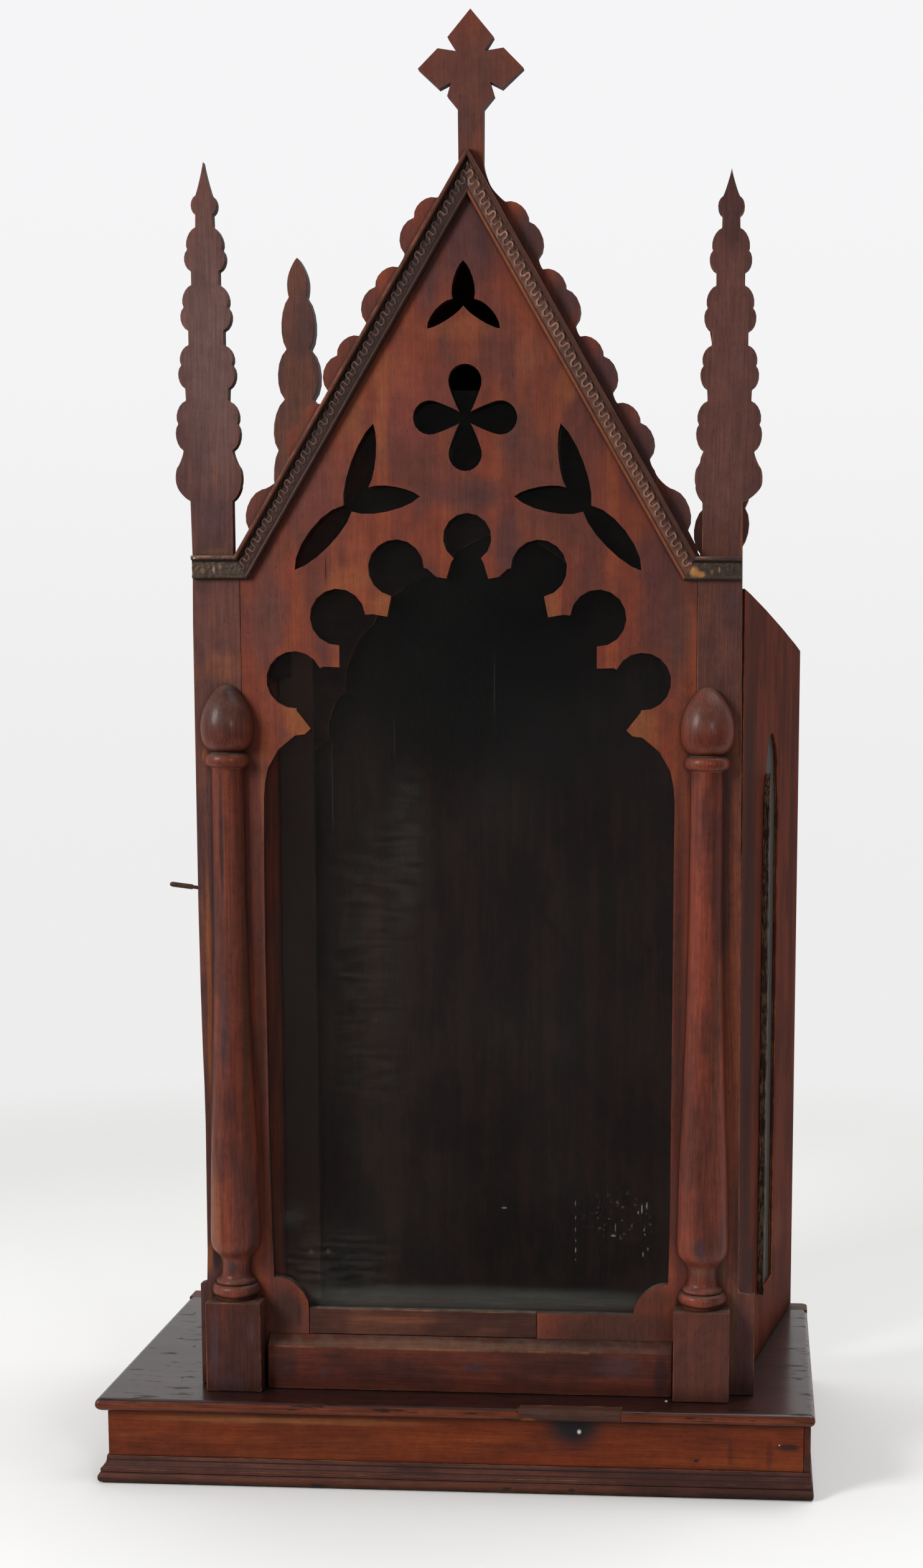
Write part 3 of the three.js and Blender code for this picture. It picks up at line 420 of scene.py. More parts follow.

# For each board: its bevel in metres, its slot, its family of colours and what it changes.
# A patch runs through the whole thickness. A mark is a place, its half sizes in millimetres and a tone.
boards = {
    "front_panel": (0.0006, "facade_wood", facadeWood, {
        "seed": 1, "dusty": 0.5, "lineDepth": 0.12, "patches": panelPatches, "marks": hairCrack,
    }),
    "front_stile_left": (0.0006, "facade_wood", greyedWood, {"seed": 2, "patches": leftPatches}),
    "front_stile_right": (0.0006, "facade_wood", greyedWood, {
        "seed": 3, "base": (0.122, 0.046, 0.036), "warm": (0.16, 0.055, 0.034), "patches": rightPatches,
        "grimeAndShade": 0.45,
    }),
    "sill_strip": (0.0006, "facade_wood", darkWood, {
        "seed": 4, "grain": "across", "dusty": 0.9,
        "base": (0.105, 0.037, 0.024), "warm": (0.14, 0.052, 0.03),
        "patches": [(-60, 128, 60, 4, orange, 0.25)],
    }),
    "bottom_rail": (0.0009, "facade_wood", darkWood, {
        "seed": 5, "grain": "across", "dusty": 0.3, "wear": 0.3, "grimeAndShade": 0.4,
        "base": (0.098, 0.023, 0.0145), "warm": (0.128, 0.031, 0.0165),
        "patches": [
            (-10, 109, 190, 5, tan, 0.6), (5, 93, 14, 5, purple, 0.7), (120, 96, 30, 12, purple, 0.7),
            (-150, 92, 12, 20, inky, 0.5), (-120, 84, 4, 6, purple, 0.8), (156, 90, 7, 24, sawn, 0.7),
        ],
    }),
    "pedestal_left": (0.0009, "facade_wood", darkWood, {
        "seed": 6, "dusty": 0.4, "wear": 0.42, "grimeAndShade": 0.55,
        "base": (0.088, 0.026, 0.018), "warm": (0.12, 0.034, 0.02),
        "patches": [
            (-206, 105, 5, 46, purple, 0.9), (-176, 122, 5, 20, purple, 0.8), (-190, 78, 22, 14, purple, 0.6),
            (-214, 105, 2, 50, orange, 0.6),
        ],
    }),
    "pedestal_right": (0.0009, "facade_wood", darkWood, {
        "seed": 7, "dusty": 0.4, "wear": 0.25, "grimeAndShade": 0.55, "lineDepth": 0.1,
        "base": (0.105, 0.034, 0.024), "warm": (0.135, 0.042, 0.028), "cloud": (0.08, 0.029, 0.024),
    }),
    "base_top": (0.0004, "base_wood", darkWood, {
        "seed": 8, "grain": "across", "roughness": 0.42, "coat": 0.74, "coatRoughness": 0.17,
        "bump": 0.2, "grimeAndShade": 0.9, "lineDepth": 0.4, "dashes": 0.8,
        "base": (0.030, 0.008, 0.006), "warm": (0.042, 0.012, 0.008), "cloud": (0.022, 0.007, 0.006),
        "edge": (2, (0.150, 0.0355, 0.0145), 0.95),
        "marks": [((-0.2708, nosingY + 0.244, 0.071), (1.8, 3, 8), inky),
                  ((-0.2623, nosingY + 0.1669, 0.071), (1.6, 3, 8), inky),
                  ((-0.245, nosingY + 0.145, 0.071), (1.6, 3, 8), inky),
                  ((-0.2267, nosingY + 0.0616, 0.071), (1.6, 2.6, 8), inky),
                  ((-0.2325, nosingY + 0.0581, 0.071), (1.4, 2.4, 8), inky),
                  ((-0.250, nosingY + 0.100, 0.071), (4.5, 1.6, 8), inky),
                  ((0.1702, nosingY + 0.0285, 0.071), (1.5, 3.5, 8), chalk),
                  ((0.0740, nosingY + 0.0084, 0.071), (0.8, 2, 8), tan)],
    }),
    "nosing_patch": (0.0004, "base_wood", darkWood, {
        "seed": 9, "grain": "across",
        "base": (0.062, 0.026, 0.017), "warm": (0.078, 0.032, 0.019), "cloud": (0.042, 0.020, 0.015),
        "patches": [(52, 61, 9, 3.4, orange, 1.0), (60, 68, 14, 3, purple, 0.6)],
    }),
    "base_rear_strip": (0.0005, "base_wood", darkWood, {"seed": 10, "grain": "across", "roughness": 0.36}),
    "base_front": (0.0005, "base_wood", facadeWood, {
        "seed": 11, "grain": "across", "cloudiness": 0.6, "specular": 0.1, "coat": 0.0,
        "edge": (1, sawn, 0.2),
        "base": (0.152, 0.028, 0.009), "warm": (0.200, 0.044, 0.012), "cloud": (0.090, 0.021, 0.010),
        "patches": [
            (-150, 54, 150, 4.5, (0.27, 0.10, 0.035), 0.7), (259, 42, 11, 3.4, inky, 0.75),
            (213, 36, 3, 16, sawn, 0.4), (244, 36, 3, 16, sawn, 0.4), (60, 36, 60, 6, sawn, 0.25),
        ],
        "marks": [
            (at(88.5, 54.5, nosingY), (31, 40, 25), inky), (at(186, 29.1, nosingY), (3, 40, 1.9), inky),
            (at(92.3, 50.6, nosingY), (2.3, 40, 2.6), chalk), (at(252, 43.5, nosingY), (0.9, 40, 0.9), chalk),
        ],
    }),
    "base_side_left": (0.0005, "base_wood", darkWood, {"seed": 12, "grain": "back"}),
    "base_side_right": (0.0005, "base_wood", darkWood, {"seed": 13, "grain": "back"}),
    "base_back": (0.0005, "base_wood", darkWood, {"seed": 14, "grain": "across"}),
    "base_moulding_front": (0.0003, "moulding_wood", darkWood, {
        "seed": 15, "grain": "across", "wear": 0.8,
        "base": (0.092, 0.032, 0.022), "warm": (0.12, 0.043, 0.026), "rubbed": (0.34, 0.19, 0.11),
        "patches": [(-20, 3, 300, 5, (0.15, 0.042, 0.017), 0.8)],
        "marks": [
            (at(0, 18.4, nosingY), (900, 60, 0.9), inky), (at(0, 14.0, nosingY), (900, 60, 0.7), sawn),
            (at(35, 4.6, nosingY), (5, 40, 1.9), inky), (at(87, 4.7, nosingY), (4, 40, 2), inky),
            (at(-119, 3, nosingY), (9, 40, 2.4), inky),
        ],
    }),
    "base_moulding_left": (0.0003, "moulding_wood", darkWood, {"seed": 16, "grain": "back"}),
    "base_moulding_right": (0.0003, "moulding_wood", darkWood, {"seed": 17, "grain": "back"}),
    "back_stile_left": (0.0007, "inside_wood", greyedWood, {
        "seed": 18, "base": (0.134, 0.051, 0.033), "marks": [(at(-200, 380, backY), *shadedStile)],
    }),
    "back_stile_right": (0.0007, "inside_wood", greyedWood, {
        "seed": 19, "base": (0.134, 0.051, 0.033), "marks": [(at(200, 380, backY), *shadedStile)],
    }),
    "back_head": (0.0006, "inside_wood", insideWood, {"seed": 20, "grain": "across", "specular": 0.15}),
    "back_panel": (0.0006, "inside_wood", insideWood, {
        "seed": 21, "specular": 0.15, "coat": 0.0,
        # painted shadow: a near-black ellipse stands for the facade arch's shadow on the back panel
        "marks": [(at(-25, 665, innerBackY), (165, 6, 150), (0.005, 0.0035, 0.0035))],
    }),
    "side_rail_left": (0.0006, "inside_wood", insideWood, {"seed": 22, "grain": "back", "specular": 0.15}),
    "side_rail_right": (0.0006, "inside_wood", insideWood, {"seed": 23, "grain": "back", "specular": 0.15}),
    "roof_left": (0.0006, "inside_wood", darkWood, {"seed": 24, "grain": "back"}),
    "roof_right": (0.0006, "inside_wood", darkWood, {"seed": 25, "grain": "back"}),
    "door_left": (0.0006, "door_wood", facadeWood, {
        "seed": 26, "specular": 0.05, "coat": 0.0, "roughness": 0.7, "edge": (0, sawn, 0.0),
    }),
    "door_right": (0.0006, "door_wood", facadeWood, {
        "seed": 27, "specular": 0.04, "coat": 0.0, "roughness": 0.7, "edge": (0, sawn, 0.0),
        "base": (0.105, 0.017, 0.006), "warm": (0.15, 0.025, 0.008), "cloud": (0.058, 0.012, 0.006),
        "patches": [
            (222, 400, 7, 420, (0.035, 0.009, 0.005), 0.9), (226, 162, 6, 26, sawn, 0.75),
            (250, 162, 14, 26, red, 0.5),
        ],
    }),
}
for node, (width, slotName, family, changes) in boards.items():
    wornBoard(node, width, makeWood(node + " finish", {**family, **changes}))
print("boards softened:", len(boards))


column = {  # millimetres: radius and height above the foot
    "foot": [(0, 0), (16.5, 0), (16.5, 2.0)],
    "footRing": (2.4, 11.9, 16.4, 19.7),  # from, to, neck, belly
    "collar": (12.3, 16.0, 14.8, 16.4),
    "vase": [
        (14.4, 16.4), (12.8, 17.8), (11.9, 20.2), (11.5, 24), (11.5, 28.5), (12.0, 31.8), (12.9, 34.2),
        (14.4, 36.2), (16.4, 38.2), (18.2, 40.4), (19.5, 43), (20.2, 46.4), (20.5, 51), (20.4, 60),
        (20.1, 75), (19.5, 104.7), (18.6, 132), (17.5, 158), (16.4, 188), (15.3, 222), (14.4, 254),
        (13.7, 286), (13.2, 320), (12.9, 360), (12.7, 400), (12.7, 429.7),
    ],
    "neckRing": (431.7, 441.9, 14.6, 17.7),
    "acorn": [
        (12.6, 443.2), (14.4, 444.6), (16.8, 446.8), (18.7, 449.6), (19.9, 452.6), (20.6, 456),
        (20.9, 459.6), (21, 463.2), (20.8, 466.8), (20.2, 471), (19.0, 475.6), (17.1, 480.2),
        (14.6, 484.8), (11.7, 489), (9.2, 492), (6.6, 494.3), (4.2, 495.6), (2.0, 496.2), (0, 496.3),
    ],
    "steps": 36,
    "ringSteps": 10,
    "collarSteps": 6,
    "weld": 2e-6,
    "sharpDeg": 50,
}


def ringOutline(steps, low, high, neck, belly):  # a half round between two heights
    turn = [math.pi * step / steps for step in range(steps + 1)]
    return [
        (neck + (belly - neck) * math.sin(angle), low + (high - low) * (1 - math.cos(angle)) / 2)
        for angle in turn]


def halfColumn(side, look):
    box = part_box(f"half_column_{side}")
    centreX, wallY, footZ = (box[0].x + box[1].x) / 2, box[1].y, box[0].z
    outline = (
        look["foot"] + ringOutline(look["ringSteps"], *look["footRing"])
        + ringOutline(look["collarSteps"], *look["collar"]) + look["vase"]
        + ringOutline(look["ringSteps"], *look["neckRing"]) + look["acorn"])
    mesh = bmesh.new()
    drawn = [
        mesh.verts.new((centreX - radius * mm, wallY, footZ + height * mm)) for radius, height in outline]
    edges = [mesh.edges.new(pair) for pair in zip(drawn, drawn[1:])]
    bmesh.ops.spin(
        mesh, geom=drawn + edges, cent=(centreX, wallY, 0), axis=(0, 0, 1), angle=math.pi,
        steps=look["steps"], use_merge=False, use_duplicate=False,
    )
    closeUp(mesh, look["weld"])
    return mesh


columnWood = {"roughness": 0.45, "coat": 0.12, "specular": 0.15, "lineDepth": 0.25, "dusty": 0.5}
columnWoods = {
    "left": {
        "seed": 30,
        "base": (0.140, 0.034, 0.021), "warm": (0.22, 0.051, 0.025), "cloud": (0.060, 0.022, 0.020),
        "patches": [
            (-190, 440, 12, 110, (0.165, 0.045, 0.028), 0.5), (-183, 340, 3.5, 170, (0.19, 0.044, 0.02), 0.6),
            (-195, 515, 2.4, 75, inky, 0.75), (-195, 370, 6, 70, purple, 0.8), (-200, 300, 4, 90, red, 0.8),
            (-204, 225, 6, 60, orange, 0.45), (-188, 450, 5, 90, red, 0.7), (-186, 230, 9, 70, purple, 0.35),
            # painted shade: the dark strip at x -179 stands for the shaded right side of the left shaft
            (-179, 400, 3, 190, (0.09, 0.035, 0.018), 0.8), (-192, 172, 6, 7, purple, 0.9),
            (-192, 622, 30, 26, (0.075, 0.036, 0.028), 0.75), (-186, 638, 8, 12, inky, 0.5),
            (-192, 603, 24, 9, (0.105, 0.030, 0.022), 0.7), (-199, 587, 6, 2, tan, 0.8),
        ],
    },
    "right": {
        "seed": 31,
        "base": (0.195, 0.042, 0.024), "warm": (0.24, 0.054, 0.028), "cloud": (0.075, 0.026, 0.022),
        "patches": [
            (186, 440, 12, 110, (0.26, 0.057, 0.032), 0.65), (187, 197, 7, 14, purple, 0.9),
            (187, 176, 10, 8, tan, 0.4), (176, 300, 4, 120, red, 0.6),
            # painted shade: the darker strip at x 197 stands for the shaded right side of the right shaft
            (197, 330, 4, 150, (0.12, 0.05, 0.03), 0.6), (187, 622, 30, 22, (0.105, 0.046, 0.034), 0.7),
            (187, 600, 24, 9, (0.13, 0.034, 0.022), 0.7),
        ],
    },
}
for side, tones in columnWoods.items():
    node = f"half_column_{side}"
    wood = makeWood(f"{node} finish", {**columnWood, **tones})
    turned = halfColumn(side, column)
    addPiece(node + "_turned", turned, wood, "cabinet", [node], column["sharpDeg"])
print("half columns turned")


moulding = {  # millimetres: width down from the upper edge, and how far it stands out
    "fillet": [
        (0, 0.3), (0, 7.3), (0.25, 7.9), (0.7, 8.15), (2.4, 8.2), (2.8, 8.0), (3.1, 7.2), (3.4, 5.6),
        (4.2, 4.5),
    ],
    "band": (4.8, 12.0, 19),  # from, to, rows
    "bandOut": 4.5,
    "bead": [
        (13.2, 4.5), (14.3, 4.3), (14.6, 4.8), (15.1, 5.2), (15.7, 5.35), (16.3, 5.2), (16.8, 4.6),
        (17.2, 3), (17.4, 0.3),
    ],
    "step": 0.6,
    "filletEnd": 3.2,  # the fillet and its groove part here
    "slack": 0.1,
    "rubbedEdge": (0.8, 7.2),  # worn above the first, where it stands out past the second
    "beadTop": (14.7, 16.9),
    "grooveTone": 0.12,  # tones from 0, painted shade and dirt, to 1, the stamped line's crown with its painted highlight
    "plainTone": 0.4,  # of the fillet and the bead
    "flatTone": 0.3,  # of the band between its lines, down to the lowest
    "lowTone": 0.02,
    "unevenRate": (0.35, 0.5),
    "backOut": 1,  # what stands out less is the back edge, which stays straight
    "weld": 1e-7,
    "sharpDeg": 60,
}
stamp = {  # millimetres too, where it isn't a share
    "pitch": 8.7,
    "ridge": 0.95,  # height of the line
    "ridgeWidth": 0.85,
    "outerArc": 0.24,  # its outer turns, as a share of the pitch
    "margin": 0.5,  # between its turns and the band's edges
    "slant": 0.2,
    "tongue": (0.75, 0.5, 1.7),  # share of the height, half width, half length
    "hollow": 0.35,  # how far the gaps between the loops are pressed in
    "hollowWidth": 0.7,  # share of the inner turn
    "hollowEdge": 1.3,  # share of the ridge's width
    "wander": (0.045, 0.9),  # rate and reach of the stamping's drift
    "pressure": (0.8, 0.45),  # the usual share of the height and how far it varies
    "pressureRate": (0.11, 0.2),
    "faded": (0.15, 3),  # what is left below the kept part, and the length of the change
}


def hump(value, width):
    return math.exp(-(value / width) ** 2)


# Height of the stamped band: a line that runs to and fro in tight loops, with a tongue in each.
# kept is how far down the stamping has lasted.
def stamped(along, down, low, high, seed, kept, look=stamp):
    if not low <= down <= high:
        return 0.0
    rate, reach = look["wander"]
    wander = noise.noise(Vector((along * rate, seed, 0))) * reach
    share = (along + wander - (down - low) * look["slant"]) / look["pitch"] % 1.0
    outer = look["outerArc"] * look["pitch"]
    inner = look["pitch"] / 2 - outer
    fromOuter = (share if share < 0.5 else share - 1) * look["pitch"]
    fromInner = (share - 0.5) * look["pitch"]
    outerTurn, innerTurn = low + outer + look["margin"], high - inner - look["margin"]
    if down < outerTurn:
        away = abs(math.hypot(fromOuter, down - outerTurn) - outer)
    elif down > innerTurn:
        away = abs(math.hypot(fromInner, down - innerTurn) - inner)
    else:
        away = abs(abs(fromOuter) - outer)
    usual, varies = look["pressure"]
    rateAlong, rateDown = look["pressureRate"]
    pressed = usual + varies * noise.noise(Vector((along * rateAlong, down * rateDown, seed + 5)))
    tall, wide, long = look["tongue"]
    tongue = tall * hump(fromInner, wide) * hump(down - (outerTurn + innerTurn) / 2, long)
    line = max(hump(away, look["ridgeWidth"]), tongue) * pressed * look["ridge"]
    between = 1 - hump(away, look["ridgeWidth"] * look["hollowEdge"])
    gap = look["hollow"] * hump(fromInner, inner * look["hollowWidth"]) * between
    leftOver, change = look["faded"]
    return (line - gap) * min(1, max(leftOver, (kept - down) / change))


def mouldingOutline(look):
    low, high, rows = look["band"]
    band = [(low + (high - low) * row / (rows - 1), look["bandOut"]) for row in range(rows)]
    return look["fillet"] + band + look["bead"]


# Bends a grid into a closed moulding: lineEnds(down) gives the two ends of its line there.
def bentMoulding(look, lineEnds, direction, seed, state):
    outline = mouldingOutline(look)
    low, high, _ = look["band"]
    first, last = lineEnds(0)
    stations = round((last - first).length / mm / look["step"])
    mesh = bmesh.new()
    bmesh.ops.create_grid(mesh, x_segments=stations, y_segments=len(outline), size=0.5)
    rub, bead, tint, height = [
        mesh.verts.layers.float.new(name) for name in ("rub", "bead", "tint", "relief")]
    rateAlong, rateDown = look["unevenRate"]
    rubbedTo, rubbedOut = look["rubbedEdge"]
    beadStart, beadEnd = look["beadTop"]
    for vert in mesh.verts:
        down, out = outline[round((vert.co.y + 0.5) * len(outline)) % len(outline)]
        start, end = lineEnds(down)
        point = start.lerp(end, vert.co.x + 0.5)
        along = (point - first).dot(direction) / mm
        relief = stamped(along, down, low, high, seed, state["kept"]) * state["strength"]
        rough = noise.noise(Vector((along * rateAlong, down * rateDown, seed))) * state["uneven"]
        rough = rough if out > look["backOut"] else 0
        vert.co = point + Vector((0, -(out + relief + rough) * mm, 0))
        groove = look["filletEnd"] < down < low + look["slack"]
        plain = down < look["filletEnd"] or down > high + look["slack"]
        # the tone that mouldingTones paints as shade low down and as highlight on the crowns
        stroke = look["flatTone"] + (1 - look["flatTone"]) * relief / stamp["ridge"]
        stroke = min(1, max(look["lowTone"], stroke))
        vert[height] = look["grooveTone"] if groove else look["plainTone"] if plain else stroke
        vert[rub] = 1.0 if out > rubbedOut and down < rubbedTo else 0.0
        vert[bead] = state["bead"] if beadStart < down < beadEnd else 0.0
        vert[tint] = 1.0 if down < look["filletEnd"] else 0.0
    closeUp(mesh, look["weld"])
    return mesh


def addMoulding(node, mesh, wood, sharpDeg):
    addPiece(node + "_stamped", mesh, wood, "cabinet", [node], sharpDeg)


# The raking moulding and the level cornice of each side, which meet at a mitre.
def addMouldings(look):
    rakeBox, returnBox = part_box("rake_moulding_right"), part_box("cornice_return_right")
    apex = Vector((rakeBox[0].x, faceY, rakeBox[1].z))
    width = look["bead"][-1][0]
    levelTop, levelHeight = returnBox[1].z, returnBox[1].z - returnBox[0].z
    for side, sign in (("left", -1), ("right", 1)):
        outerCorner = 1 if sign > 0 else 0
        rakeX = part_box(f"rake_moulding_{side}")[outerCorner].x
        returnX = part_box(f"cornice_return_{side}")[outerCorner].x
        rise = (apex.z - levelTop) / abs(rakeX - apex.x)
        lean = math.atan(rise)

        def levelZ(down):
            return levelTop - levelHeight * down / width

        def mitre(down):
            run = (apex.z - down * mm / math.cos(lean) - levelZ(down)) / rise
            return Vector((apex.x + sign * run, faceY, levelZ(down)))

        def rakeEnds(down):
            return apex - Vector((0, 0, down * mm / math.cos(lean))), mitre(down)

        def returnEnds(down):
            return mitre(down), Vector((returnX, faceY, levelZ(down)))

        downhill = Vector((sign * math.cos(lean), 0, -math.sin(lean)))
        rakeLook = {**rakeWoods[side], "seed": 40 + sign, "grain": sign * (math.pi / 2 - lean)}
        rake = bentMoulding(look, rakeEnds, downhill, 3 + sign, rakeStates[side])
        rakeWood = makeWood(f"rake {side} finish", rakeLook)
        addMoulding(f"rake_moulding_{side}", rake, rakeWood, look["sharpDeg"])
        levelLook = {**returnWood, "seed": 50 + sign, "marks": returnMarks[side]}
        level = bentMoulding(look, returnEnds, Vector((sign, 0, 0)), 8 + sign, returnState)
        levelWood = makeWood(f"return {side} finish", levelLook)
        addMoulding(f"cornice_return_{side}", level, levelWood, look["sharpDeg"])


# How far down the stamping has lasted, in millimetres, how strong it is, how worn the bead is
# and how uneven the face.
rakeStates = {
    "left": {"kept": 13.5, "strength": 1.0, "bead": 0.1, "uneven": 0.12},
    "right": {"kept": 30, "strength": 1.0, "bead": 1.0, "uneven": 0.12},
}
returnState = {"kept": 30, "strength": 0.3, "bead": 0.0, "uneven": 0.5}
mouldingWood = {
    "wear": 0.8, "grimeAndShade": 0.35, "specular": 0.15, "coat": 0.05, "beadTone": (0.25, 0.070, 0.028),
}
# ridge is the painted highlight and wear on the stamped line's crowns
rakeWoods = {
    "left": {
        **mouldingWood,
        "base": (0.050, 0.025, 0.020), "warm": (0.062, 0.029, 0.022), "cloud": (0.040, 0.022, 0.019),
        "ridge": (0.225, 0.122, 0.092), "fillet": (0.105, 0.033, 0.017), "rubbed": (0.25, 0.090, 0.052),
    },
    "right": {
        **mouldingWood,
        "base": (0.150, 0.066, 0.044), "warm": (0.180, 0.076, 0.048), "cloud": (0.108, 0.052, 0.040),
        "ridge": (0.47, 0.245, 0.175), "fillet": (0.092, 0.034, 0.024), "rubbed": (0.10, 0.036, 0.022),
    },
}
returnWood = {
    **mouldingWood, "wear": 0.9, "grain": "across", "grimeAndShade": 0.15, "dusty": 0.6,
    "base": (0.085, 0.055, 0.037), "warm": (0.105, 0.060, 0.037), "cloud": (0.055, 0.040, 0.033),
    "ridge": (0.22, 0.135, 0.085), "fillet": (0.070, 0.036, 0.033), "rubbed": (0.30, 0.15, 0.08),
}
returnMarks = {
    "left": [
        (at(-199, 731), (1.4, 40, 4), (0.30, 0.17, 0.10)),
        (at(-208, 730), (2.4, 40, 3.4), (0.16, 0.10, 0.05)),
        (at(-213.5, 739.5), (1.3, 40, 0.9), chalk), (at(-194, 733), (3, 40, 2.5), (0.12, 0.085, 0.06)),
    ],
    "right": [
        (at(177, 730), (5, 40, 5.6), (0.50, 0.22, 0.075)), (at(182, 728), (5, 40, 3.4), (0.46, 0.20, 0.07)),
        (at(196.5, 731.5), (1.2, 40, 3), (0.30, 0.16, 0.08)), (at(191, 730), (2, 40, 3), (0.15, 0.10, 0.05)),
        (at(208, 731), (0.7, 40, 4), inky),
    ],
}
addMouldings(moulding)
print("mouldings stamped")


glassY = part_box("glass_front")[0].y
glassLook = {  # an old pane; film is the least and the most share of dirt, and of painted shade on the door panes
    "film": (0.002, 0.014),
    "dustAndShadeTone": (0.17, 0.175, 0.155),
    "shadowTint": (0.82, 0.84, 0.82),
    "specular": 0.35,
    "ior": 1.46,
    "polish": 0.02,
    "chalky": 0.9,
    "streaks": 0.004,
    "smears": [],  # a place, its half sizes in metres and a share; specks and bloom have the same
    "bloom": [],
    "specks": [],
    "scratches": [],  # place, half width and half height in millimetres, and a share
    "scratchDepth": 0.02,
}
# painted shade: the door panes are mostly covered by a near-black film, standing for the dark inside seen
# through them
doorPane = {**glassLook, "dustAndShadeTone": (0.020, 0.014, 0.011), "specular": 0.0}
doorShadeFilms = {"left": (0.5, 0.75), "right": (0.86, 0.97)}
frontPane = {
    **glassLook,
    "smears": [
        (at(-82, 400, glassY), (0.045, 0.02, 0.21), 0.025),
        (at(-50, 520, glassY), (0.022, 0.02, 0.09), 0.035),
        (at(-100, 175, glassY), (0.05, 0.02, 0.05), 0.04), (at(0, 143, glassY), (0.19, 0.02, 0.016), 0.04),
        (at(-150, 185, glassY), (0.03, 0.02, 0.05), 0.05),
    ],
    "bloom": [(at(0, 144, glassY), (0.30, 0.02, 0.0135), 0.1)],
    "specks": [(at(120, 215, glassY), (0.04, 0.02, 0.03), 0.25)],
    "scratches": [
        (139, 222, 0.9, 5, 0.7), (143, 225, 0.7, 4, 0.6), (136, 219, 0.8, 2, 0.5), (117.5, 206, 0.8, 5, 0.3),
        (116, 199.5, 3, 1.3, 0.5), (141, 205, 0.7, 2, 0.5), (141.5, 201, 0.7, 1, 0.5),
        (140, 184.5, 0.8, 3, 0.5), (144, 189, 0.7, 2, 0.4), (85, 226, 0.4, 3, 0.6), (85.2, 214, 0.4, 2, 0.7),
        (85.1, 204, 0.4, 2.4, 0.7), (85.2, 195, 0.4, 1.6, 0.7), (85.2, 187, 0.5, 3, 0.9),
        (85.2, 179, 0.4, 1, 0.6), (27, 221, 3, 1.1, 0.5), (-132, 181, 2.6, 3, 0.08),
        (-118, 182, 2.6, 3, 0.08), (20, 640, 0.6, 40, 0.05), (-60, 600, 0.5, 30, 0.05),
        (-110, 560, 0.5, 60, 0.05),
    ],
}


# Clear glass under a film: dirt on the front pane, painted shade on the door panes. It lets light through to
# the inside of the case.
def makeGlass(name, look):
    finish = Finish(name)
    place = finish.place()
    cloud = finish.noise(place, scale=9, detail=3)
    streaks = finish.drawnOut(place, (40, 40, 260))
    specks = finish.noise(place, scale=260)
    film = cloud.fade(0.35, 0.8, *look["film"]) + streaks.fade(0.62, 0.75) * look["streaks"]
    for centre, size, share in look["smears"]:
        film = film + finish.spot(place, centre, size, cloud) * streaks.fade(0.35, 0.7) * share
    for centre, size, share in look["bloom"]:
        film = film + finish.spot(place, centre, size) * share
    for centre, size, share in look["specks"]:
        film = film + finish.spot(place, centre, size) * specks.fade(0.66, 0.7) * share
    for x, z, wide, high, share in look["scratches"]:
        size = (wide * mm, look["scratchDepth"], high * mm)
        film = film + finish.spot(place, at(x, z, glassY), size) * share
    pane = finish.node("ShaderNodeBsdfPrincipled", {}, {
        "Base Color": (1, 1, 1, 1), "Roughness": look["polish"], "IOR": look["ior"],
        "Transmission Weight": 1.0, "Specular IOR Level": look["specular"],
    })
    # the film's tone: dust on the front pane, painted shade on the door panes
    dust = finish.node("ShaderNodeBsdfPrincipled", {}, {
        "Base Color": rgba(look["dustAndShadeTone"]), "Roughness": look["chalky"],
    })
    dirty = finish.node("ShaderNodeMixShader", {}, {0: film, 1: pane, 2: dust})
    clear = finish.node("ShaderNodeBsdfTransparent", {}, {"Color": rgba(look["shadowTint"])})
    shadowRay = finish.node("ShaderNodeLightPath", {}, {}, "Is Shadow Ray")
    return finish.done(finish.node("ShaderNodeMixShader", {}, {0: shadowRay, 1: dirty, 2: clear}))


def reface(node, material):
    slots = frame["nodes"][node].data.materials
    slots.clear()
    slots.append(material)


reface("glass_front", makeGlass("old front glass", frontPane))
for side, film in doorShadeFilms.items():
    reface(f"door_{side}_glass", makeGlass(f"old {side} door glass", {**doorPane, "film": film}))
print("glass made")


putty = {
    "longEdge": 0.05,  # edges longer than this, in metres, are cut into short lengths
    "cuts": 110,
    "rate": 110,
    "wobble": 0.0009,
    "sharpDeg": 60,
    "crack": (0.022, 0.014, 0.010),
    "dry": (0.17, 0.110, 0.072),
    "stain": (0.035, 0.018, 0.012),
    "stained": 0.8,
    "bump": (0.8, 0.001),  # strength and depth
}


def makePutty(name, look):
    finish = Finish(name)
    place = finish.place()
    cracks = finish.drawnOut(place, (900, 900, 90), detail=4, rough=0.7)
    patchy = finish.noise(place, scale=60, detail=3)
    colour = finish.mix(cracks.fade(0.4, 0.6), look["crack"], look["dry"])
    colour = finish.mix(patchy.fade(0.5, 0.6) * look["stained"], colour, look["stain"])
    strength, depth = look["bump"]
    bump = finish.node("ShaderNodeBump", {}, {"Strength": strength, "Distance": depth, "Height": cracks})
    return finish.done(finish.node("ShaderNodeBsdfPrincipled", {}, {
        "Base Color": colour, "Roughness": 0.9, "Normal": bump, "Specular IOR Level": 0.1,
    }))


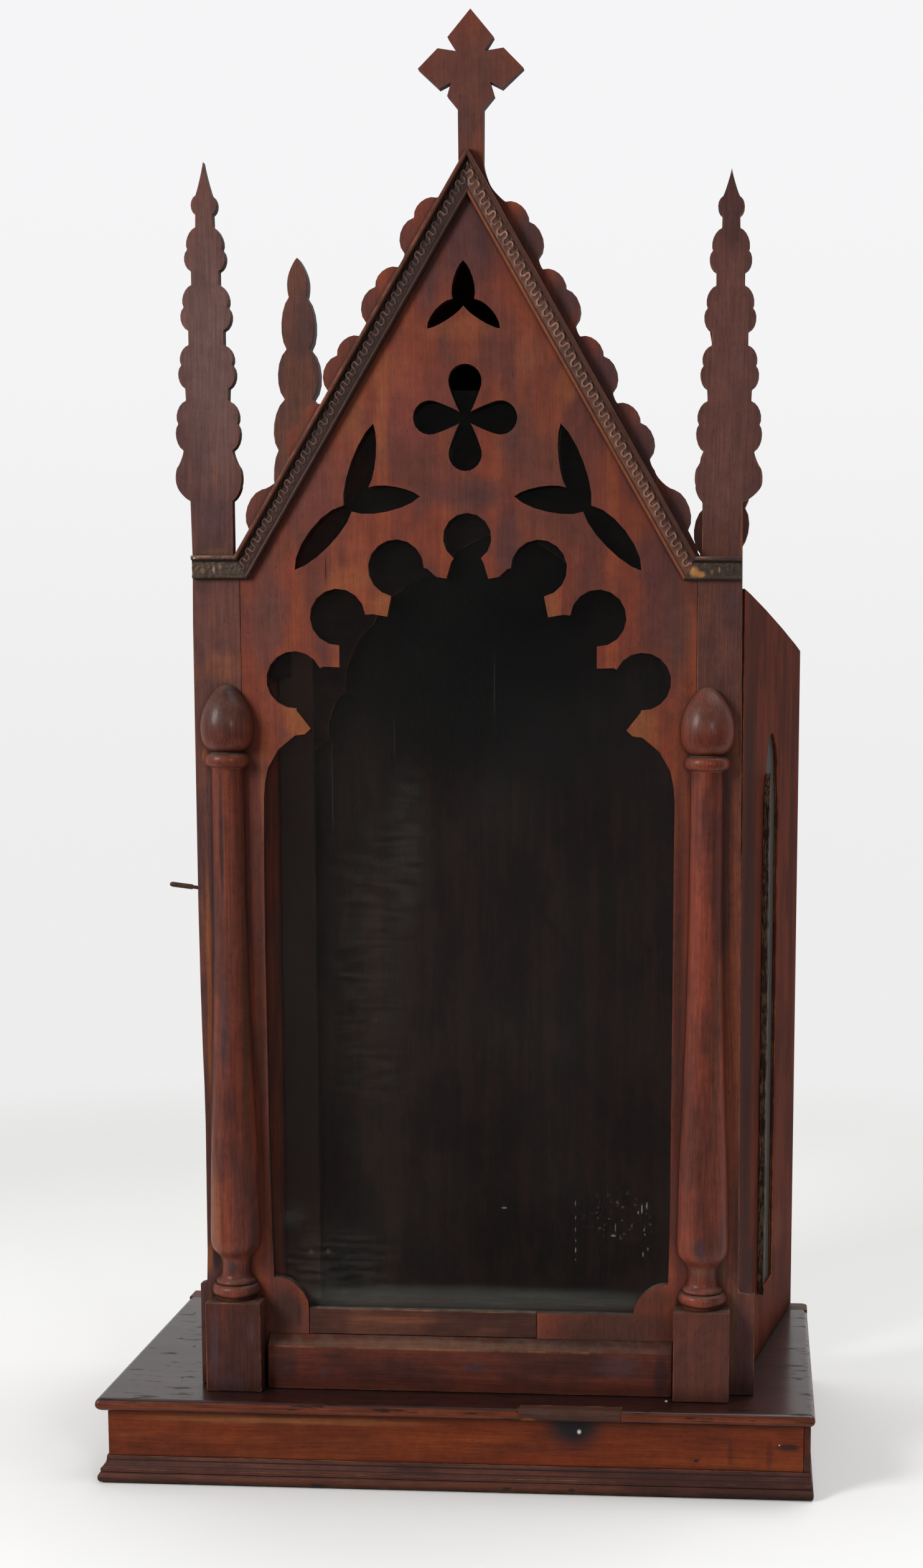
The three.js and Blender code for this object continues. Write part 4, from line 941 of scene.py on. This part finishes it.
# The hand-laid bead: cut into short lengths, then pushed in and out.
def addPutty(side, look):
    node = f"door_{side}_putty"
    mesh = mergedCopy(node)
    tall = [edge for edge in mesh.edges if abs(edge.verts[0].co.z - edge.verts[1].co.z) > look["longEdge"]]
    bmesh.ops.subdivide_edges(mesh, edges=tall, cuts=look["cuts"], use_grid_fill=True)
    bmesh.ops.triangulate(mesh, faces=[face for face in mesh.faces if len(face.verts) > 4])
    for vert in mesh.verts:
        vert.co += noise.noise_vector(vert.co * look["rate"]) * look["wobble"]
    material = makePutty(f"{side} putty finish", look)
    addPiece(node + "_laid", mesh, material, bodyOf[node], [node], look["sharpDeg"])


for side in ("left", "right"):
    addPutty(side, putty)


peg = {"bevel": 0.0003, "iron": (0.03, 0.02, 0.018), "rust": (0.09, 0.035, 0.02), "metallic": 0.6}


def makeIron(name, look):
    finish = Finish(name)
    rust = finish.noise(finish.place(), scale=700, detail=3)
    colour = finish.mix(rust.fade(0.4, 0.6), look["iron"], look["rust"])
    return finish.done(finish.node("ShaderNodeBsdfPrincipled", {}, {
        "Base Color": colour, "Roughness": rust.fade(0.3, 0.7, 0.4, 0.7), "Metallic": look["metallic"],
    }))


wornBoard("side_peg", peg["bevel"], makeIron("old iron", peg))
print("putty and peg made")


room = {  # metres
    "floorColour": (0.85, 0.848, 0.838),
    "floorShade": 0.985,
    "floorHalf": 2.2,
    "floorBack": 1.4,  # how far back its middle lies
    "floorFade": (0.9, 1.9),  # the floor melts into the room between these distances
    "frontFade": (-0.44, -0.60),  # and it ends here, so that the glass doesn't mirror it
    "seen": ((0.852, 0.851, 0.850), (0.915, 0.915, 0.928)),  # low down and high up
    "seenFade": (-0.1, 0.25),
    "lit": (0.05, 0.8),  # in front and behind
    "litFade": (-0.6, 0.4),
}
lamps = {  # place, aim, width, height, watts
    "key": ((-1.40, -1.30, 1.28), (0, 0, 0.55), 0.66, 0.8, 32.5),
    "fill": ((0.9, -2.0, 0.95), (0, 0, 0.5), 0.3, 0.35, 7),
    "over": ((0.8, 0.3, 2.7), (0.4, 0, 0), 2.6, 2.2, 50),
}
view = {  # metres, radians and millimetres
    "at": (0.23639, -1.82062, 0.63850),
    "yaw": 0.0566, "pitch": 0.1254, "roll": 0.0055,
    "lens": 49.82, "sensor": 36, "shift": (-0.1087, 0.115),
}


def makeFloor(look):
    mesh = bmesh.new()
    bmesh.ops.create_grid(mesh, x_segments=1, y_segments=1, size=look["floorHalf"])
    bmesh.ops.translate(mesh, verts=mesh.verts, vec=(0, look["floorBack"], 0))
    data = bpy.data.meshes.new("floor")
    mesh.to_mesh(data)
    mesh.free()
    finish = Finish("pale floor")
    place = finish.place()
    cloud = finish.noise(place, scale=3, detail=3)
    shaded = tuple(value * look["floorShade"] for value in look["floorColour"])
    colour = finish.mix(cloud, look["floorColour"], shaded)
    paper = finish.node("ShaderNodeBsdfDiffuse", {}, {"Color": colour})
    nearEdge = finish.along(place, 1).fade(*look["frontFade"])
    beyond = finish.distance(place).fade(*look["floorFade"]).most(nearEdge)
    gone = finish.node("ShaderNodeBsdfTransparent", {}, {})
    data.materials.append(finish.done(finish.node("ShaderNodeMixShader", {}, {0: beyond, 1: paper, 2: gone})))
    floor = bpy.data.objects.new("floor", data)
    bpy.context.scene.collection.objects.link(floor)


# The room looks pale all round, but it lights the case mostly from behind and stays dim in front,
# so that the glass reflects little.
def makeRoom(look):
    world = bpy.data.worlds.new("studio")
    bpy.context.scene.world = world
    world.use_nodes = True
    finish = Finish("studio", world.node_tree)
    heading = finish.place()
    depth = finish.along(heading, 1).fade(*look["litFade"], *look["lit"])
    height = finish.along(heading, 2).fade(*look["seenFade"])
    seen = finish.node("ShaderNodeBackground", {}, {"Color": finish.mix(height, *look["seen"])})
    lit = finish.node("ShaderNodeBackground", {}, {"Strength": depth})
    eye = finish.node("ShaderNodeLightPath", {}, {}, "Is Camera Ray")
    mixed = finish.node("ShaderNodeMixShader", {}, {0: eye, 1: lit, 2: seen})
    finish.node("ShaderNodeOutputWorld", {}, {"Surface": mixed})


def makeLamp(name, place, aim, width, height, watts):
    light = bpy.data.lights.new(name, "AREA")
    light.shape = "RECTANGLE"
    light.size, light.size_y, light.energy = width, height, watts
    lamp = bpy.data.objects.new(name, light)
    lamp.location = place
    lamp.rotation_euler = (Vector(aim) - Vector(place)).to_track_quat("-Z", "Y").to_euler()
    bpy.context.scene.collection.objects.link(lamp)


def makeCamera(look):
    yaw, pitch, roll = look["yaw"], look["pitch"], look["roll"]
    ahead = Vector((-math.sin(yaw) * math.cos(pitch), math.cos(yaw) * math.cos(pitch), -math.sin(pitch)))
    level = Vector((math.cos(yaw), math.sin(yaw), 0))
    above = level.cross(ahead)
    right = level * math.cos(roll) + above * math.sin(roll)
    up = above * math.cos(roll) - level * math.sin(roll)
    data = bpy.data.cameras.new("camera")
    data.sensor_fit = "VERTICAL"
    data.sensor_height = look["sensor"]
    data.lens = look["lens"]
    data.shift_x, data.shift_y = look["shift"]
    camera = bpy.data.objects.new("camera", data)
    camera.matrix_world = Matrix.Translation(look["at"]) @ Matrix((right, up, -ahead)).transposed().to_4x4()
    bpy.context.scene.collection.objects.link(camera)
    bpy.context.scene.camera = camera


makeFloor(room)
makeRoom(room)
for name, settings in lamps.items():
    makeLamp(name, *settings)
makeCamera(view)
bpy.context.scene.view_settings.view_transform = "Standard"
print("room, lamps and camera set")

bpy.context.view_layer.update()
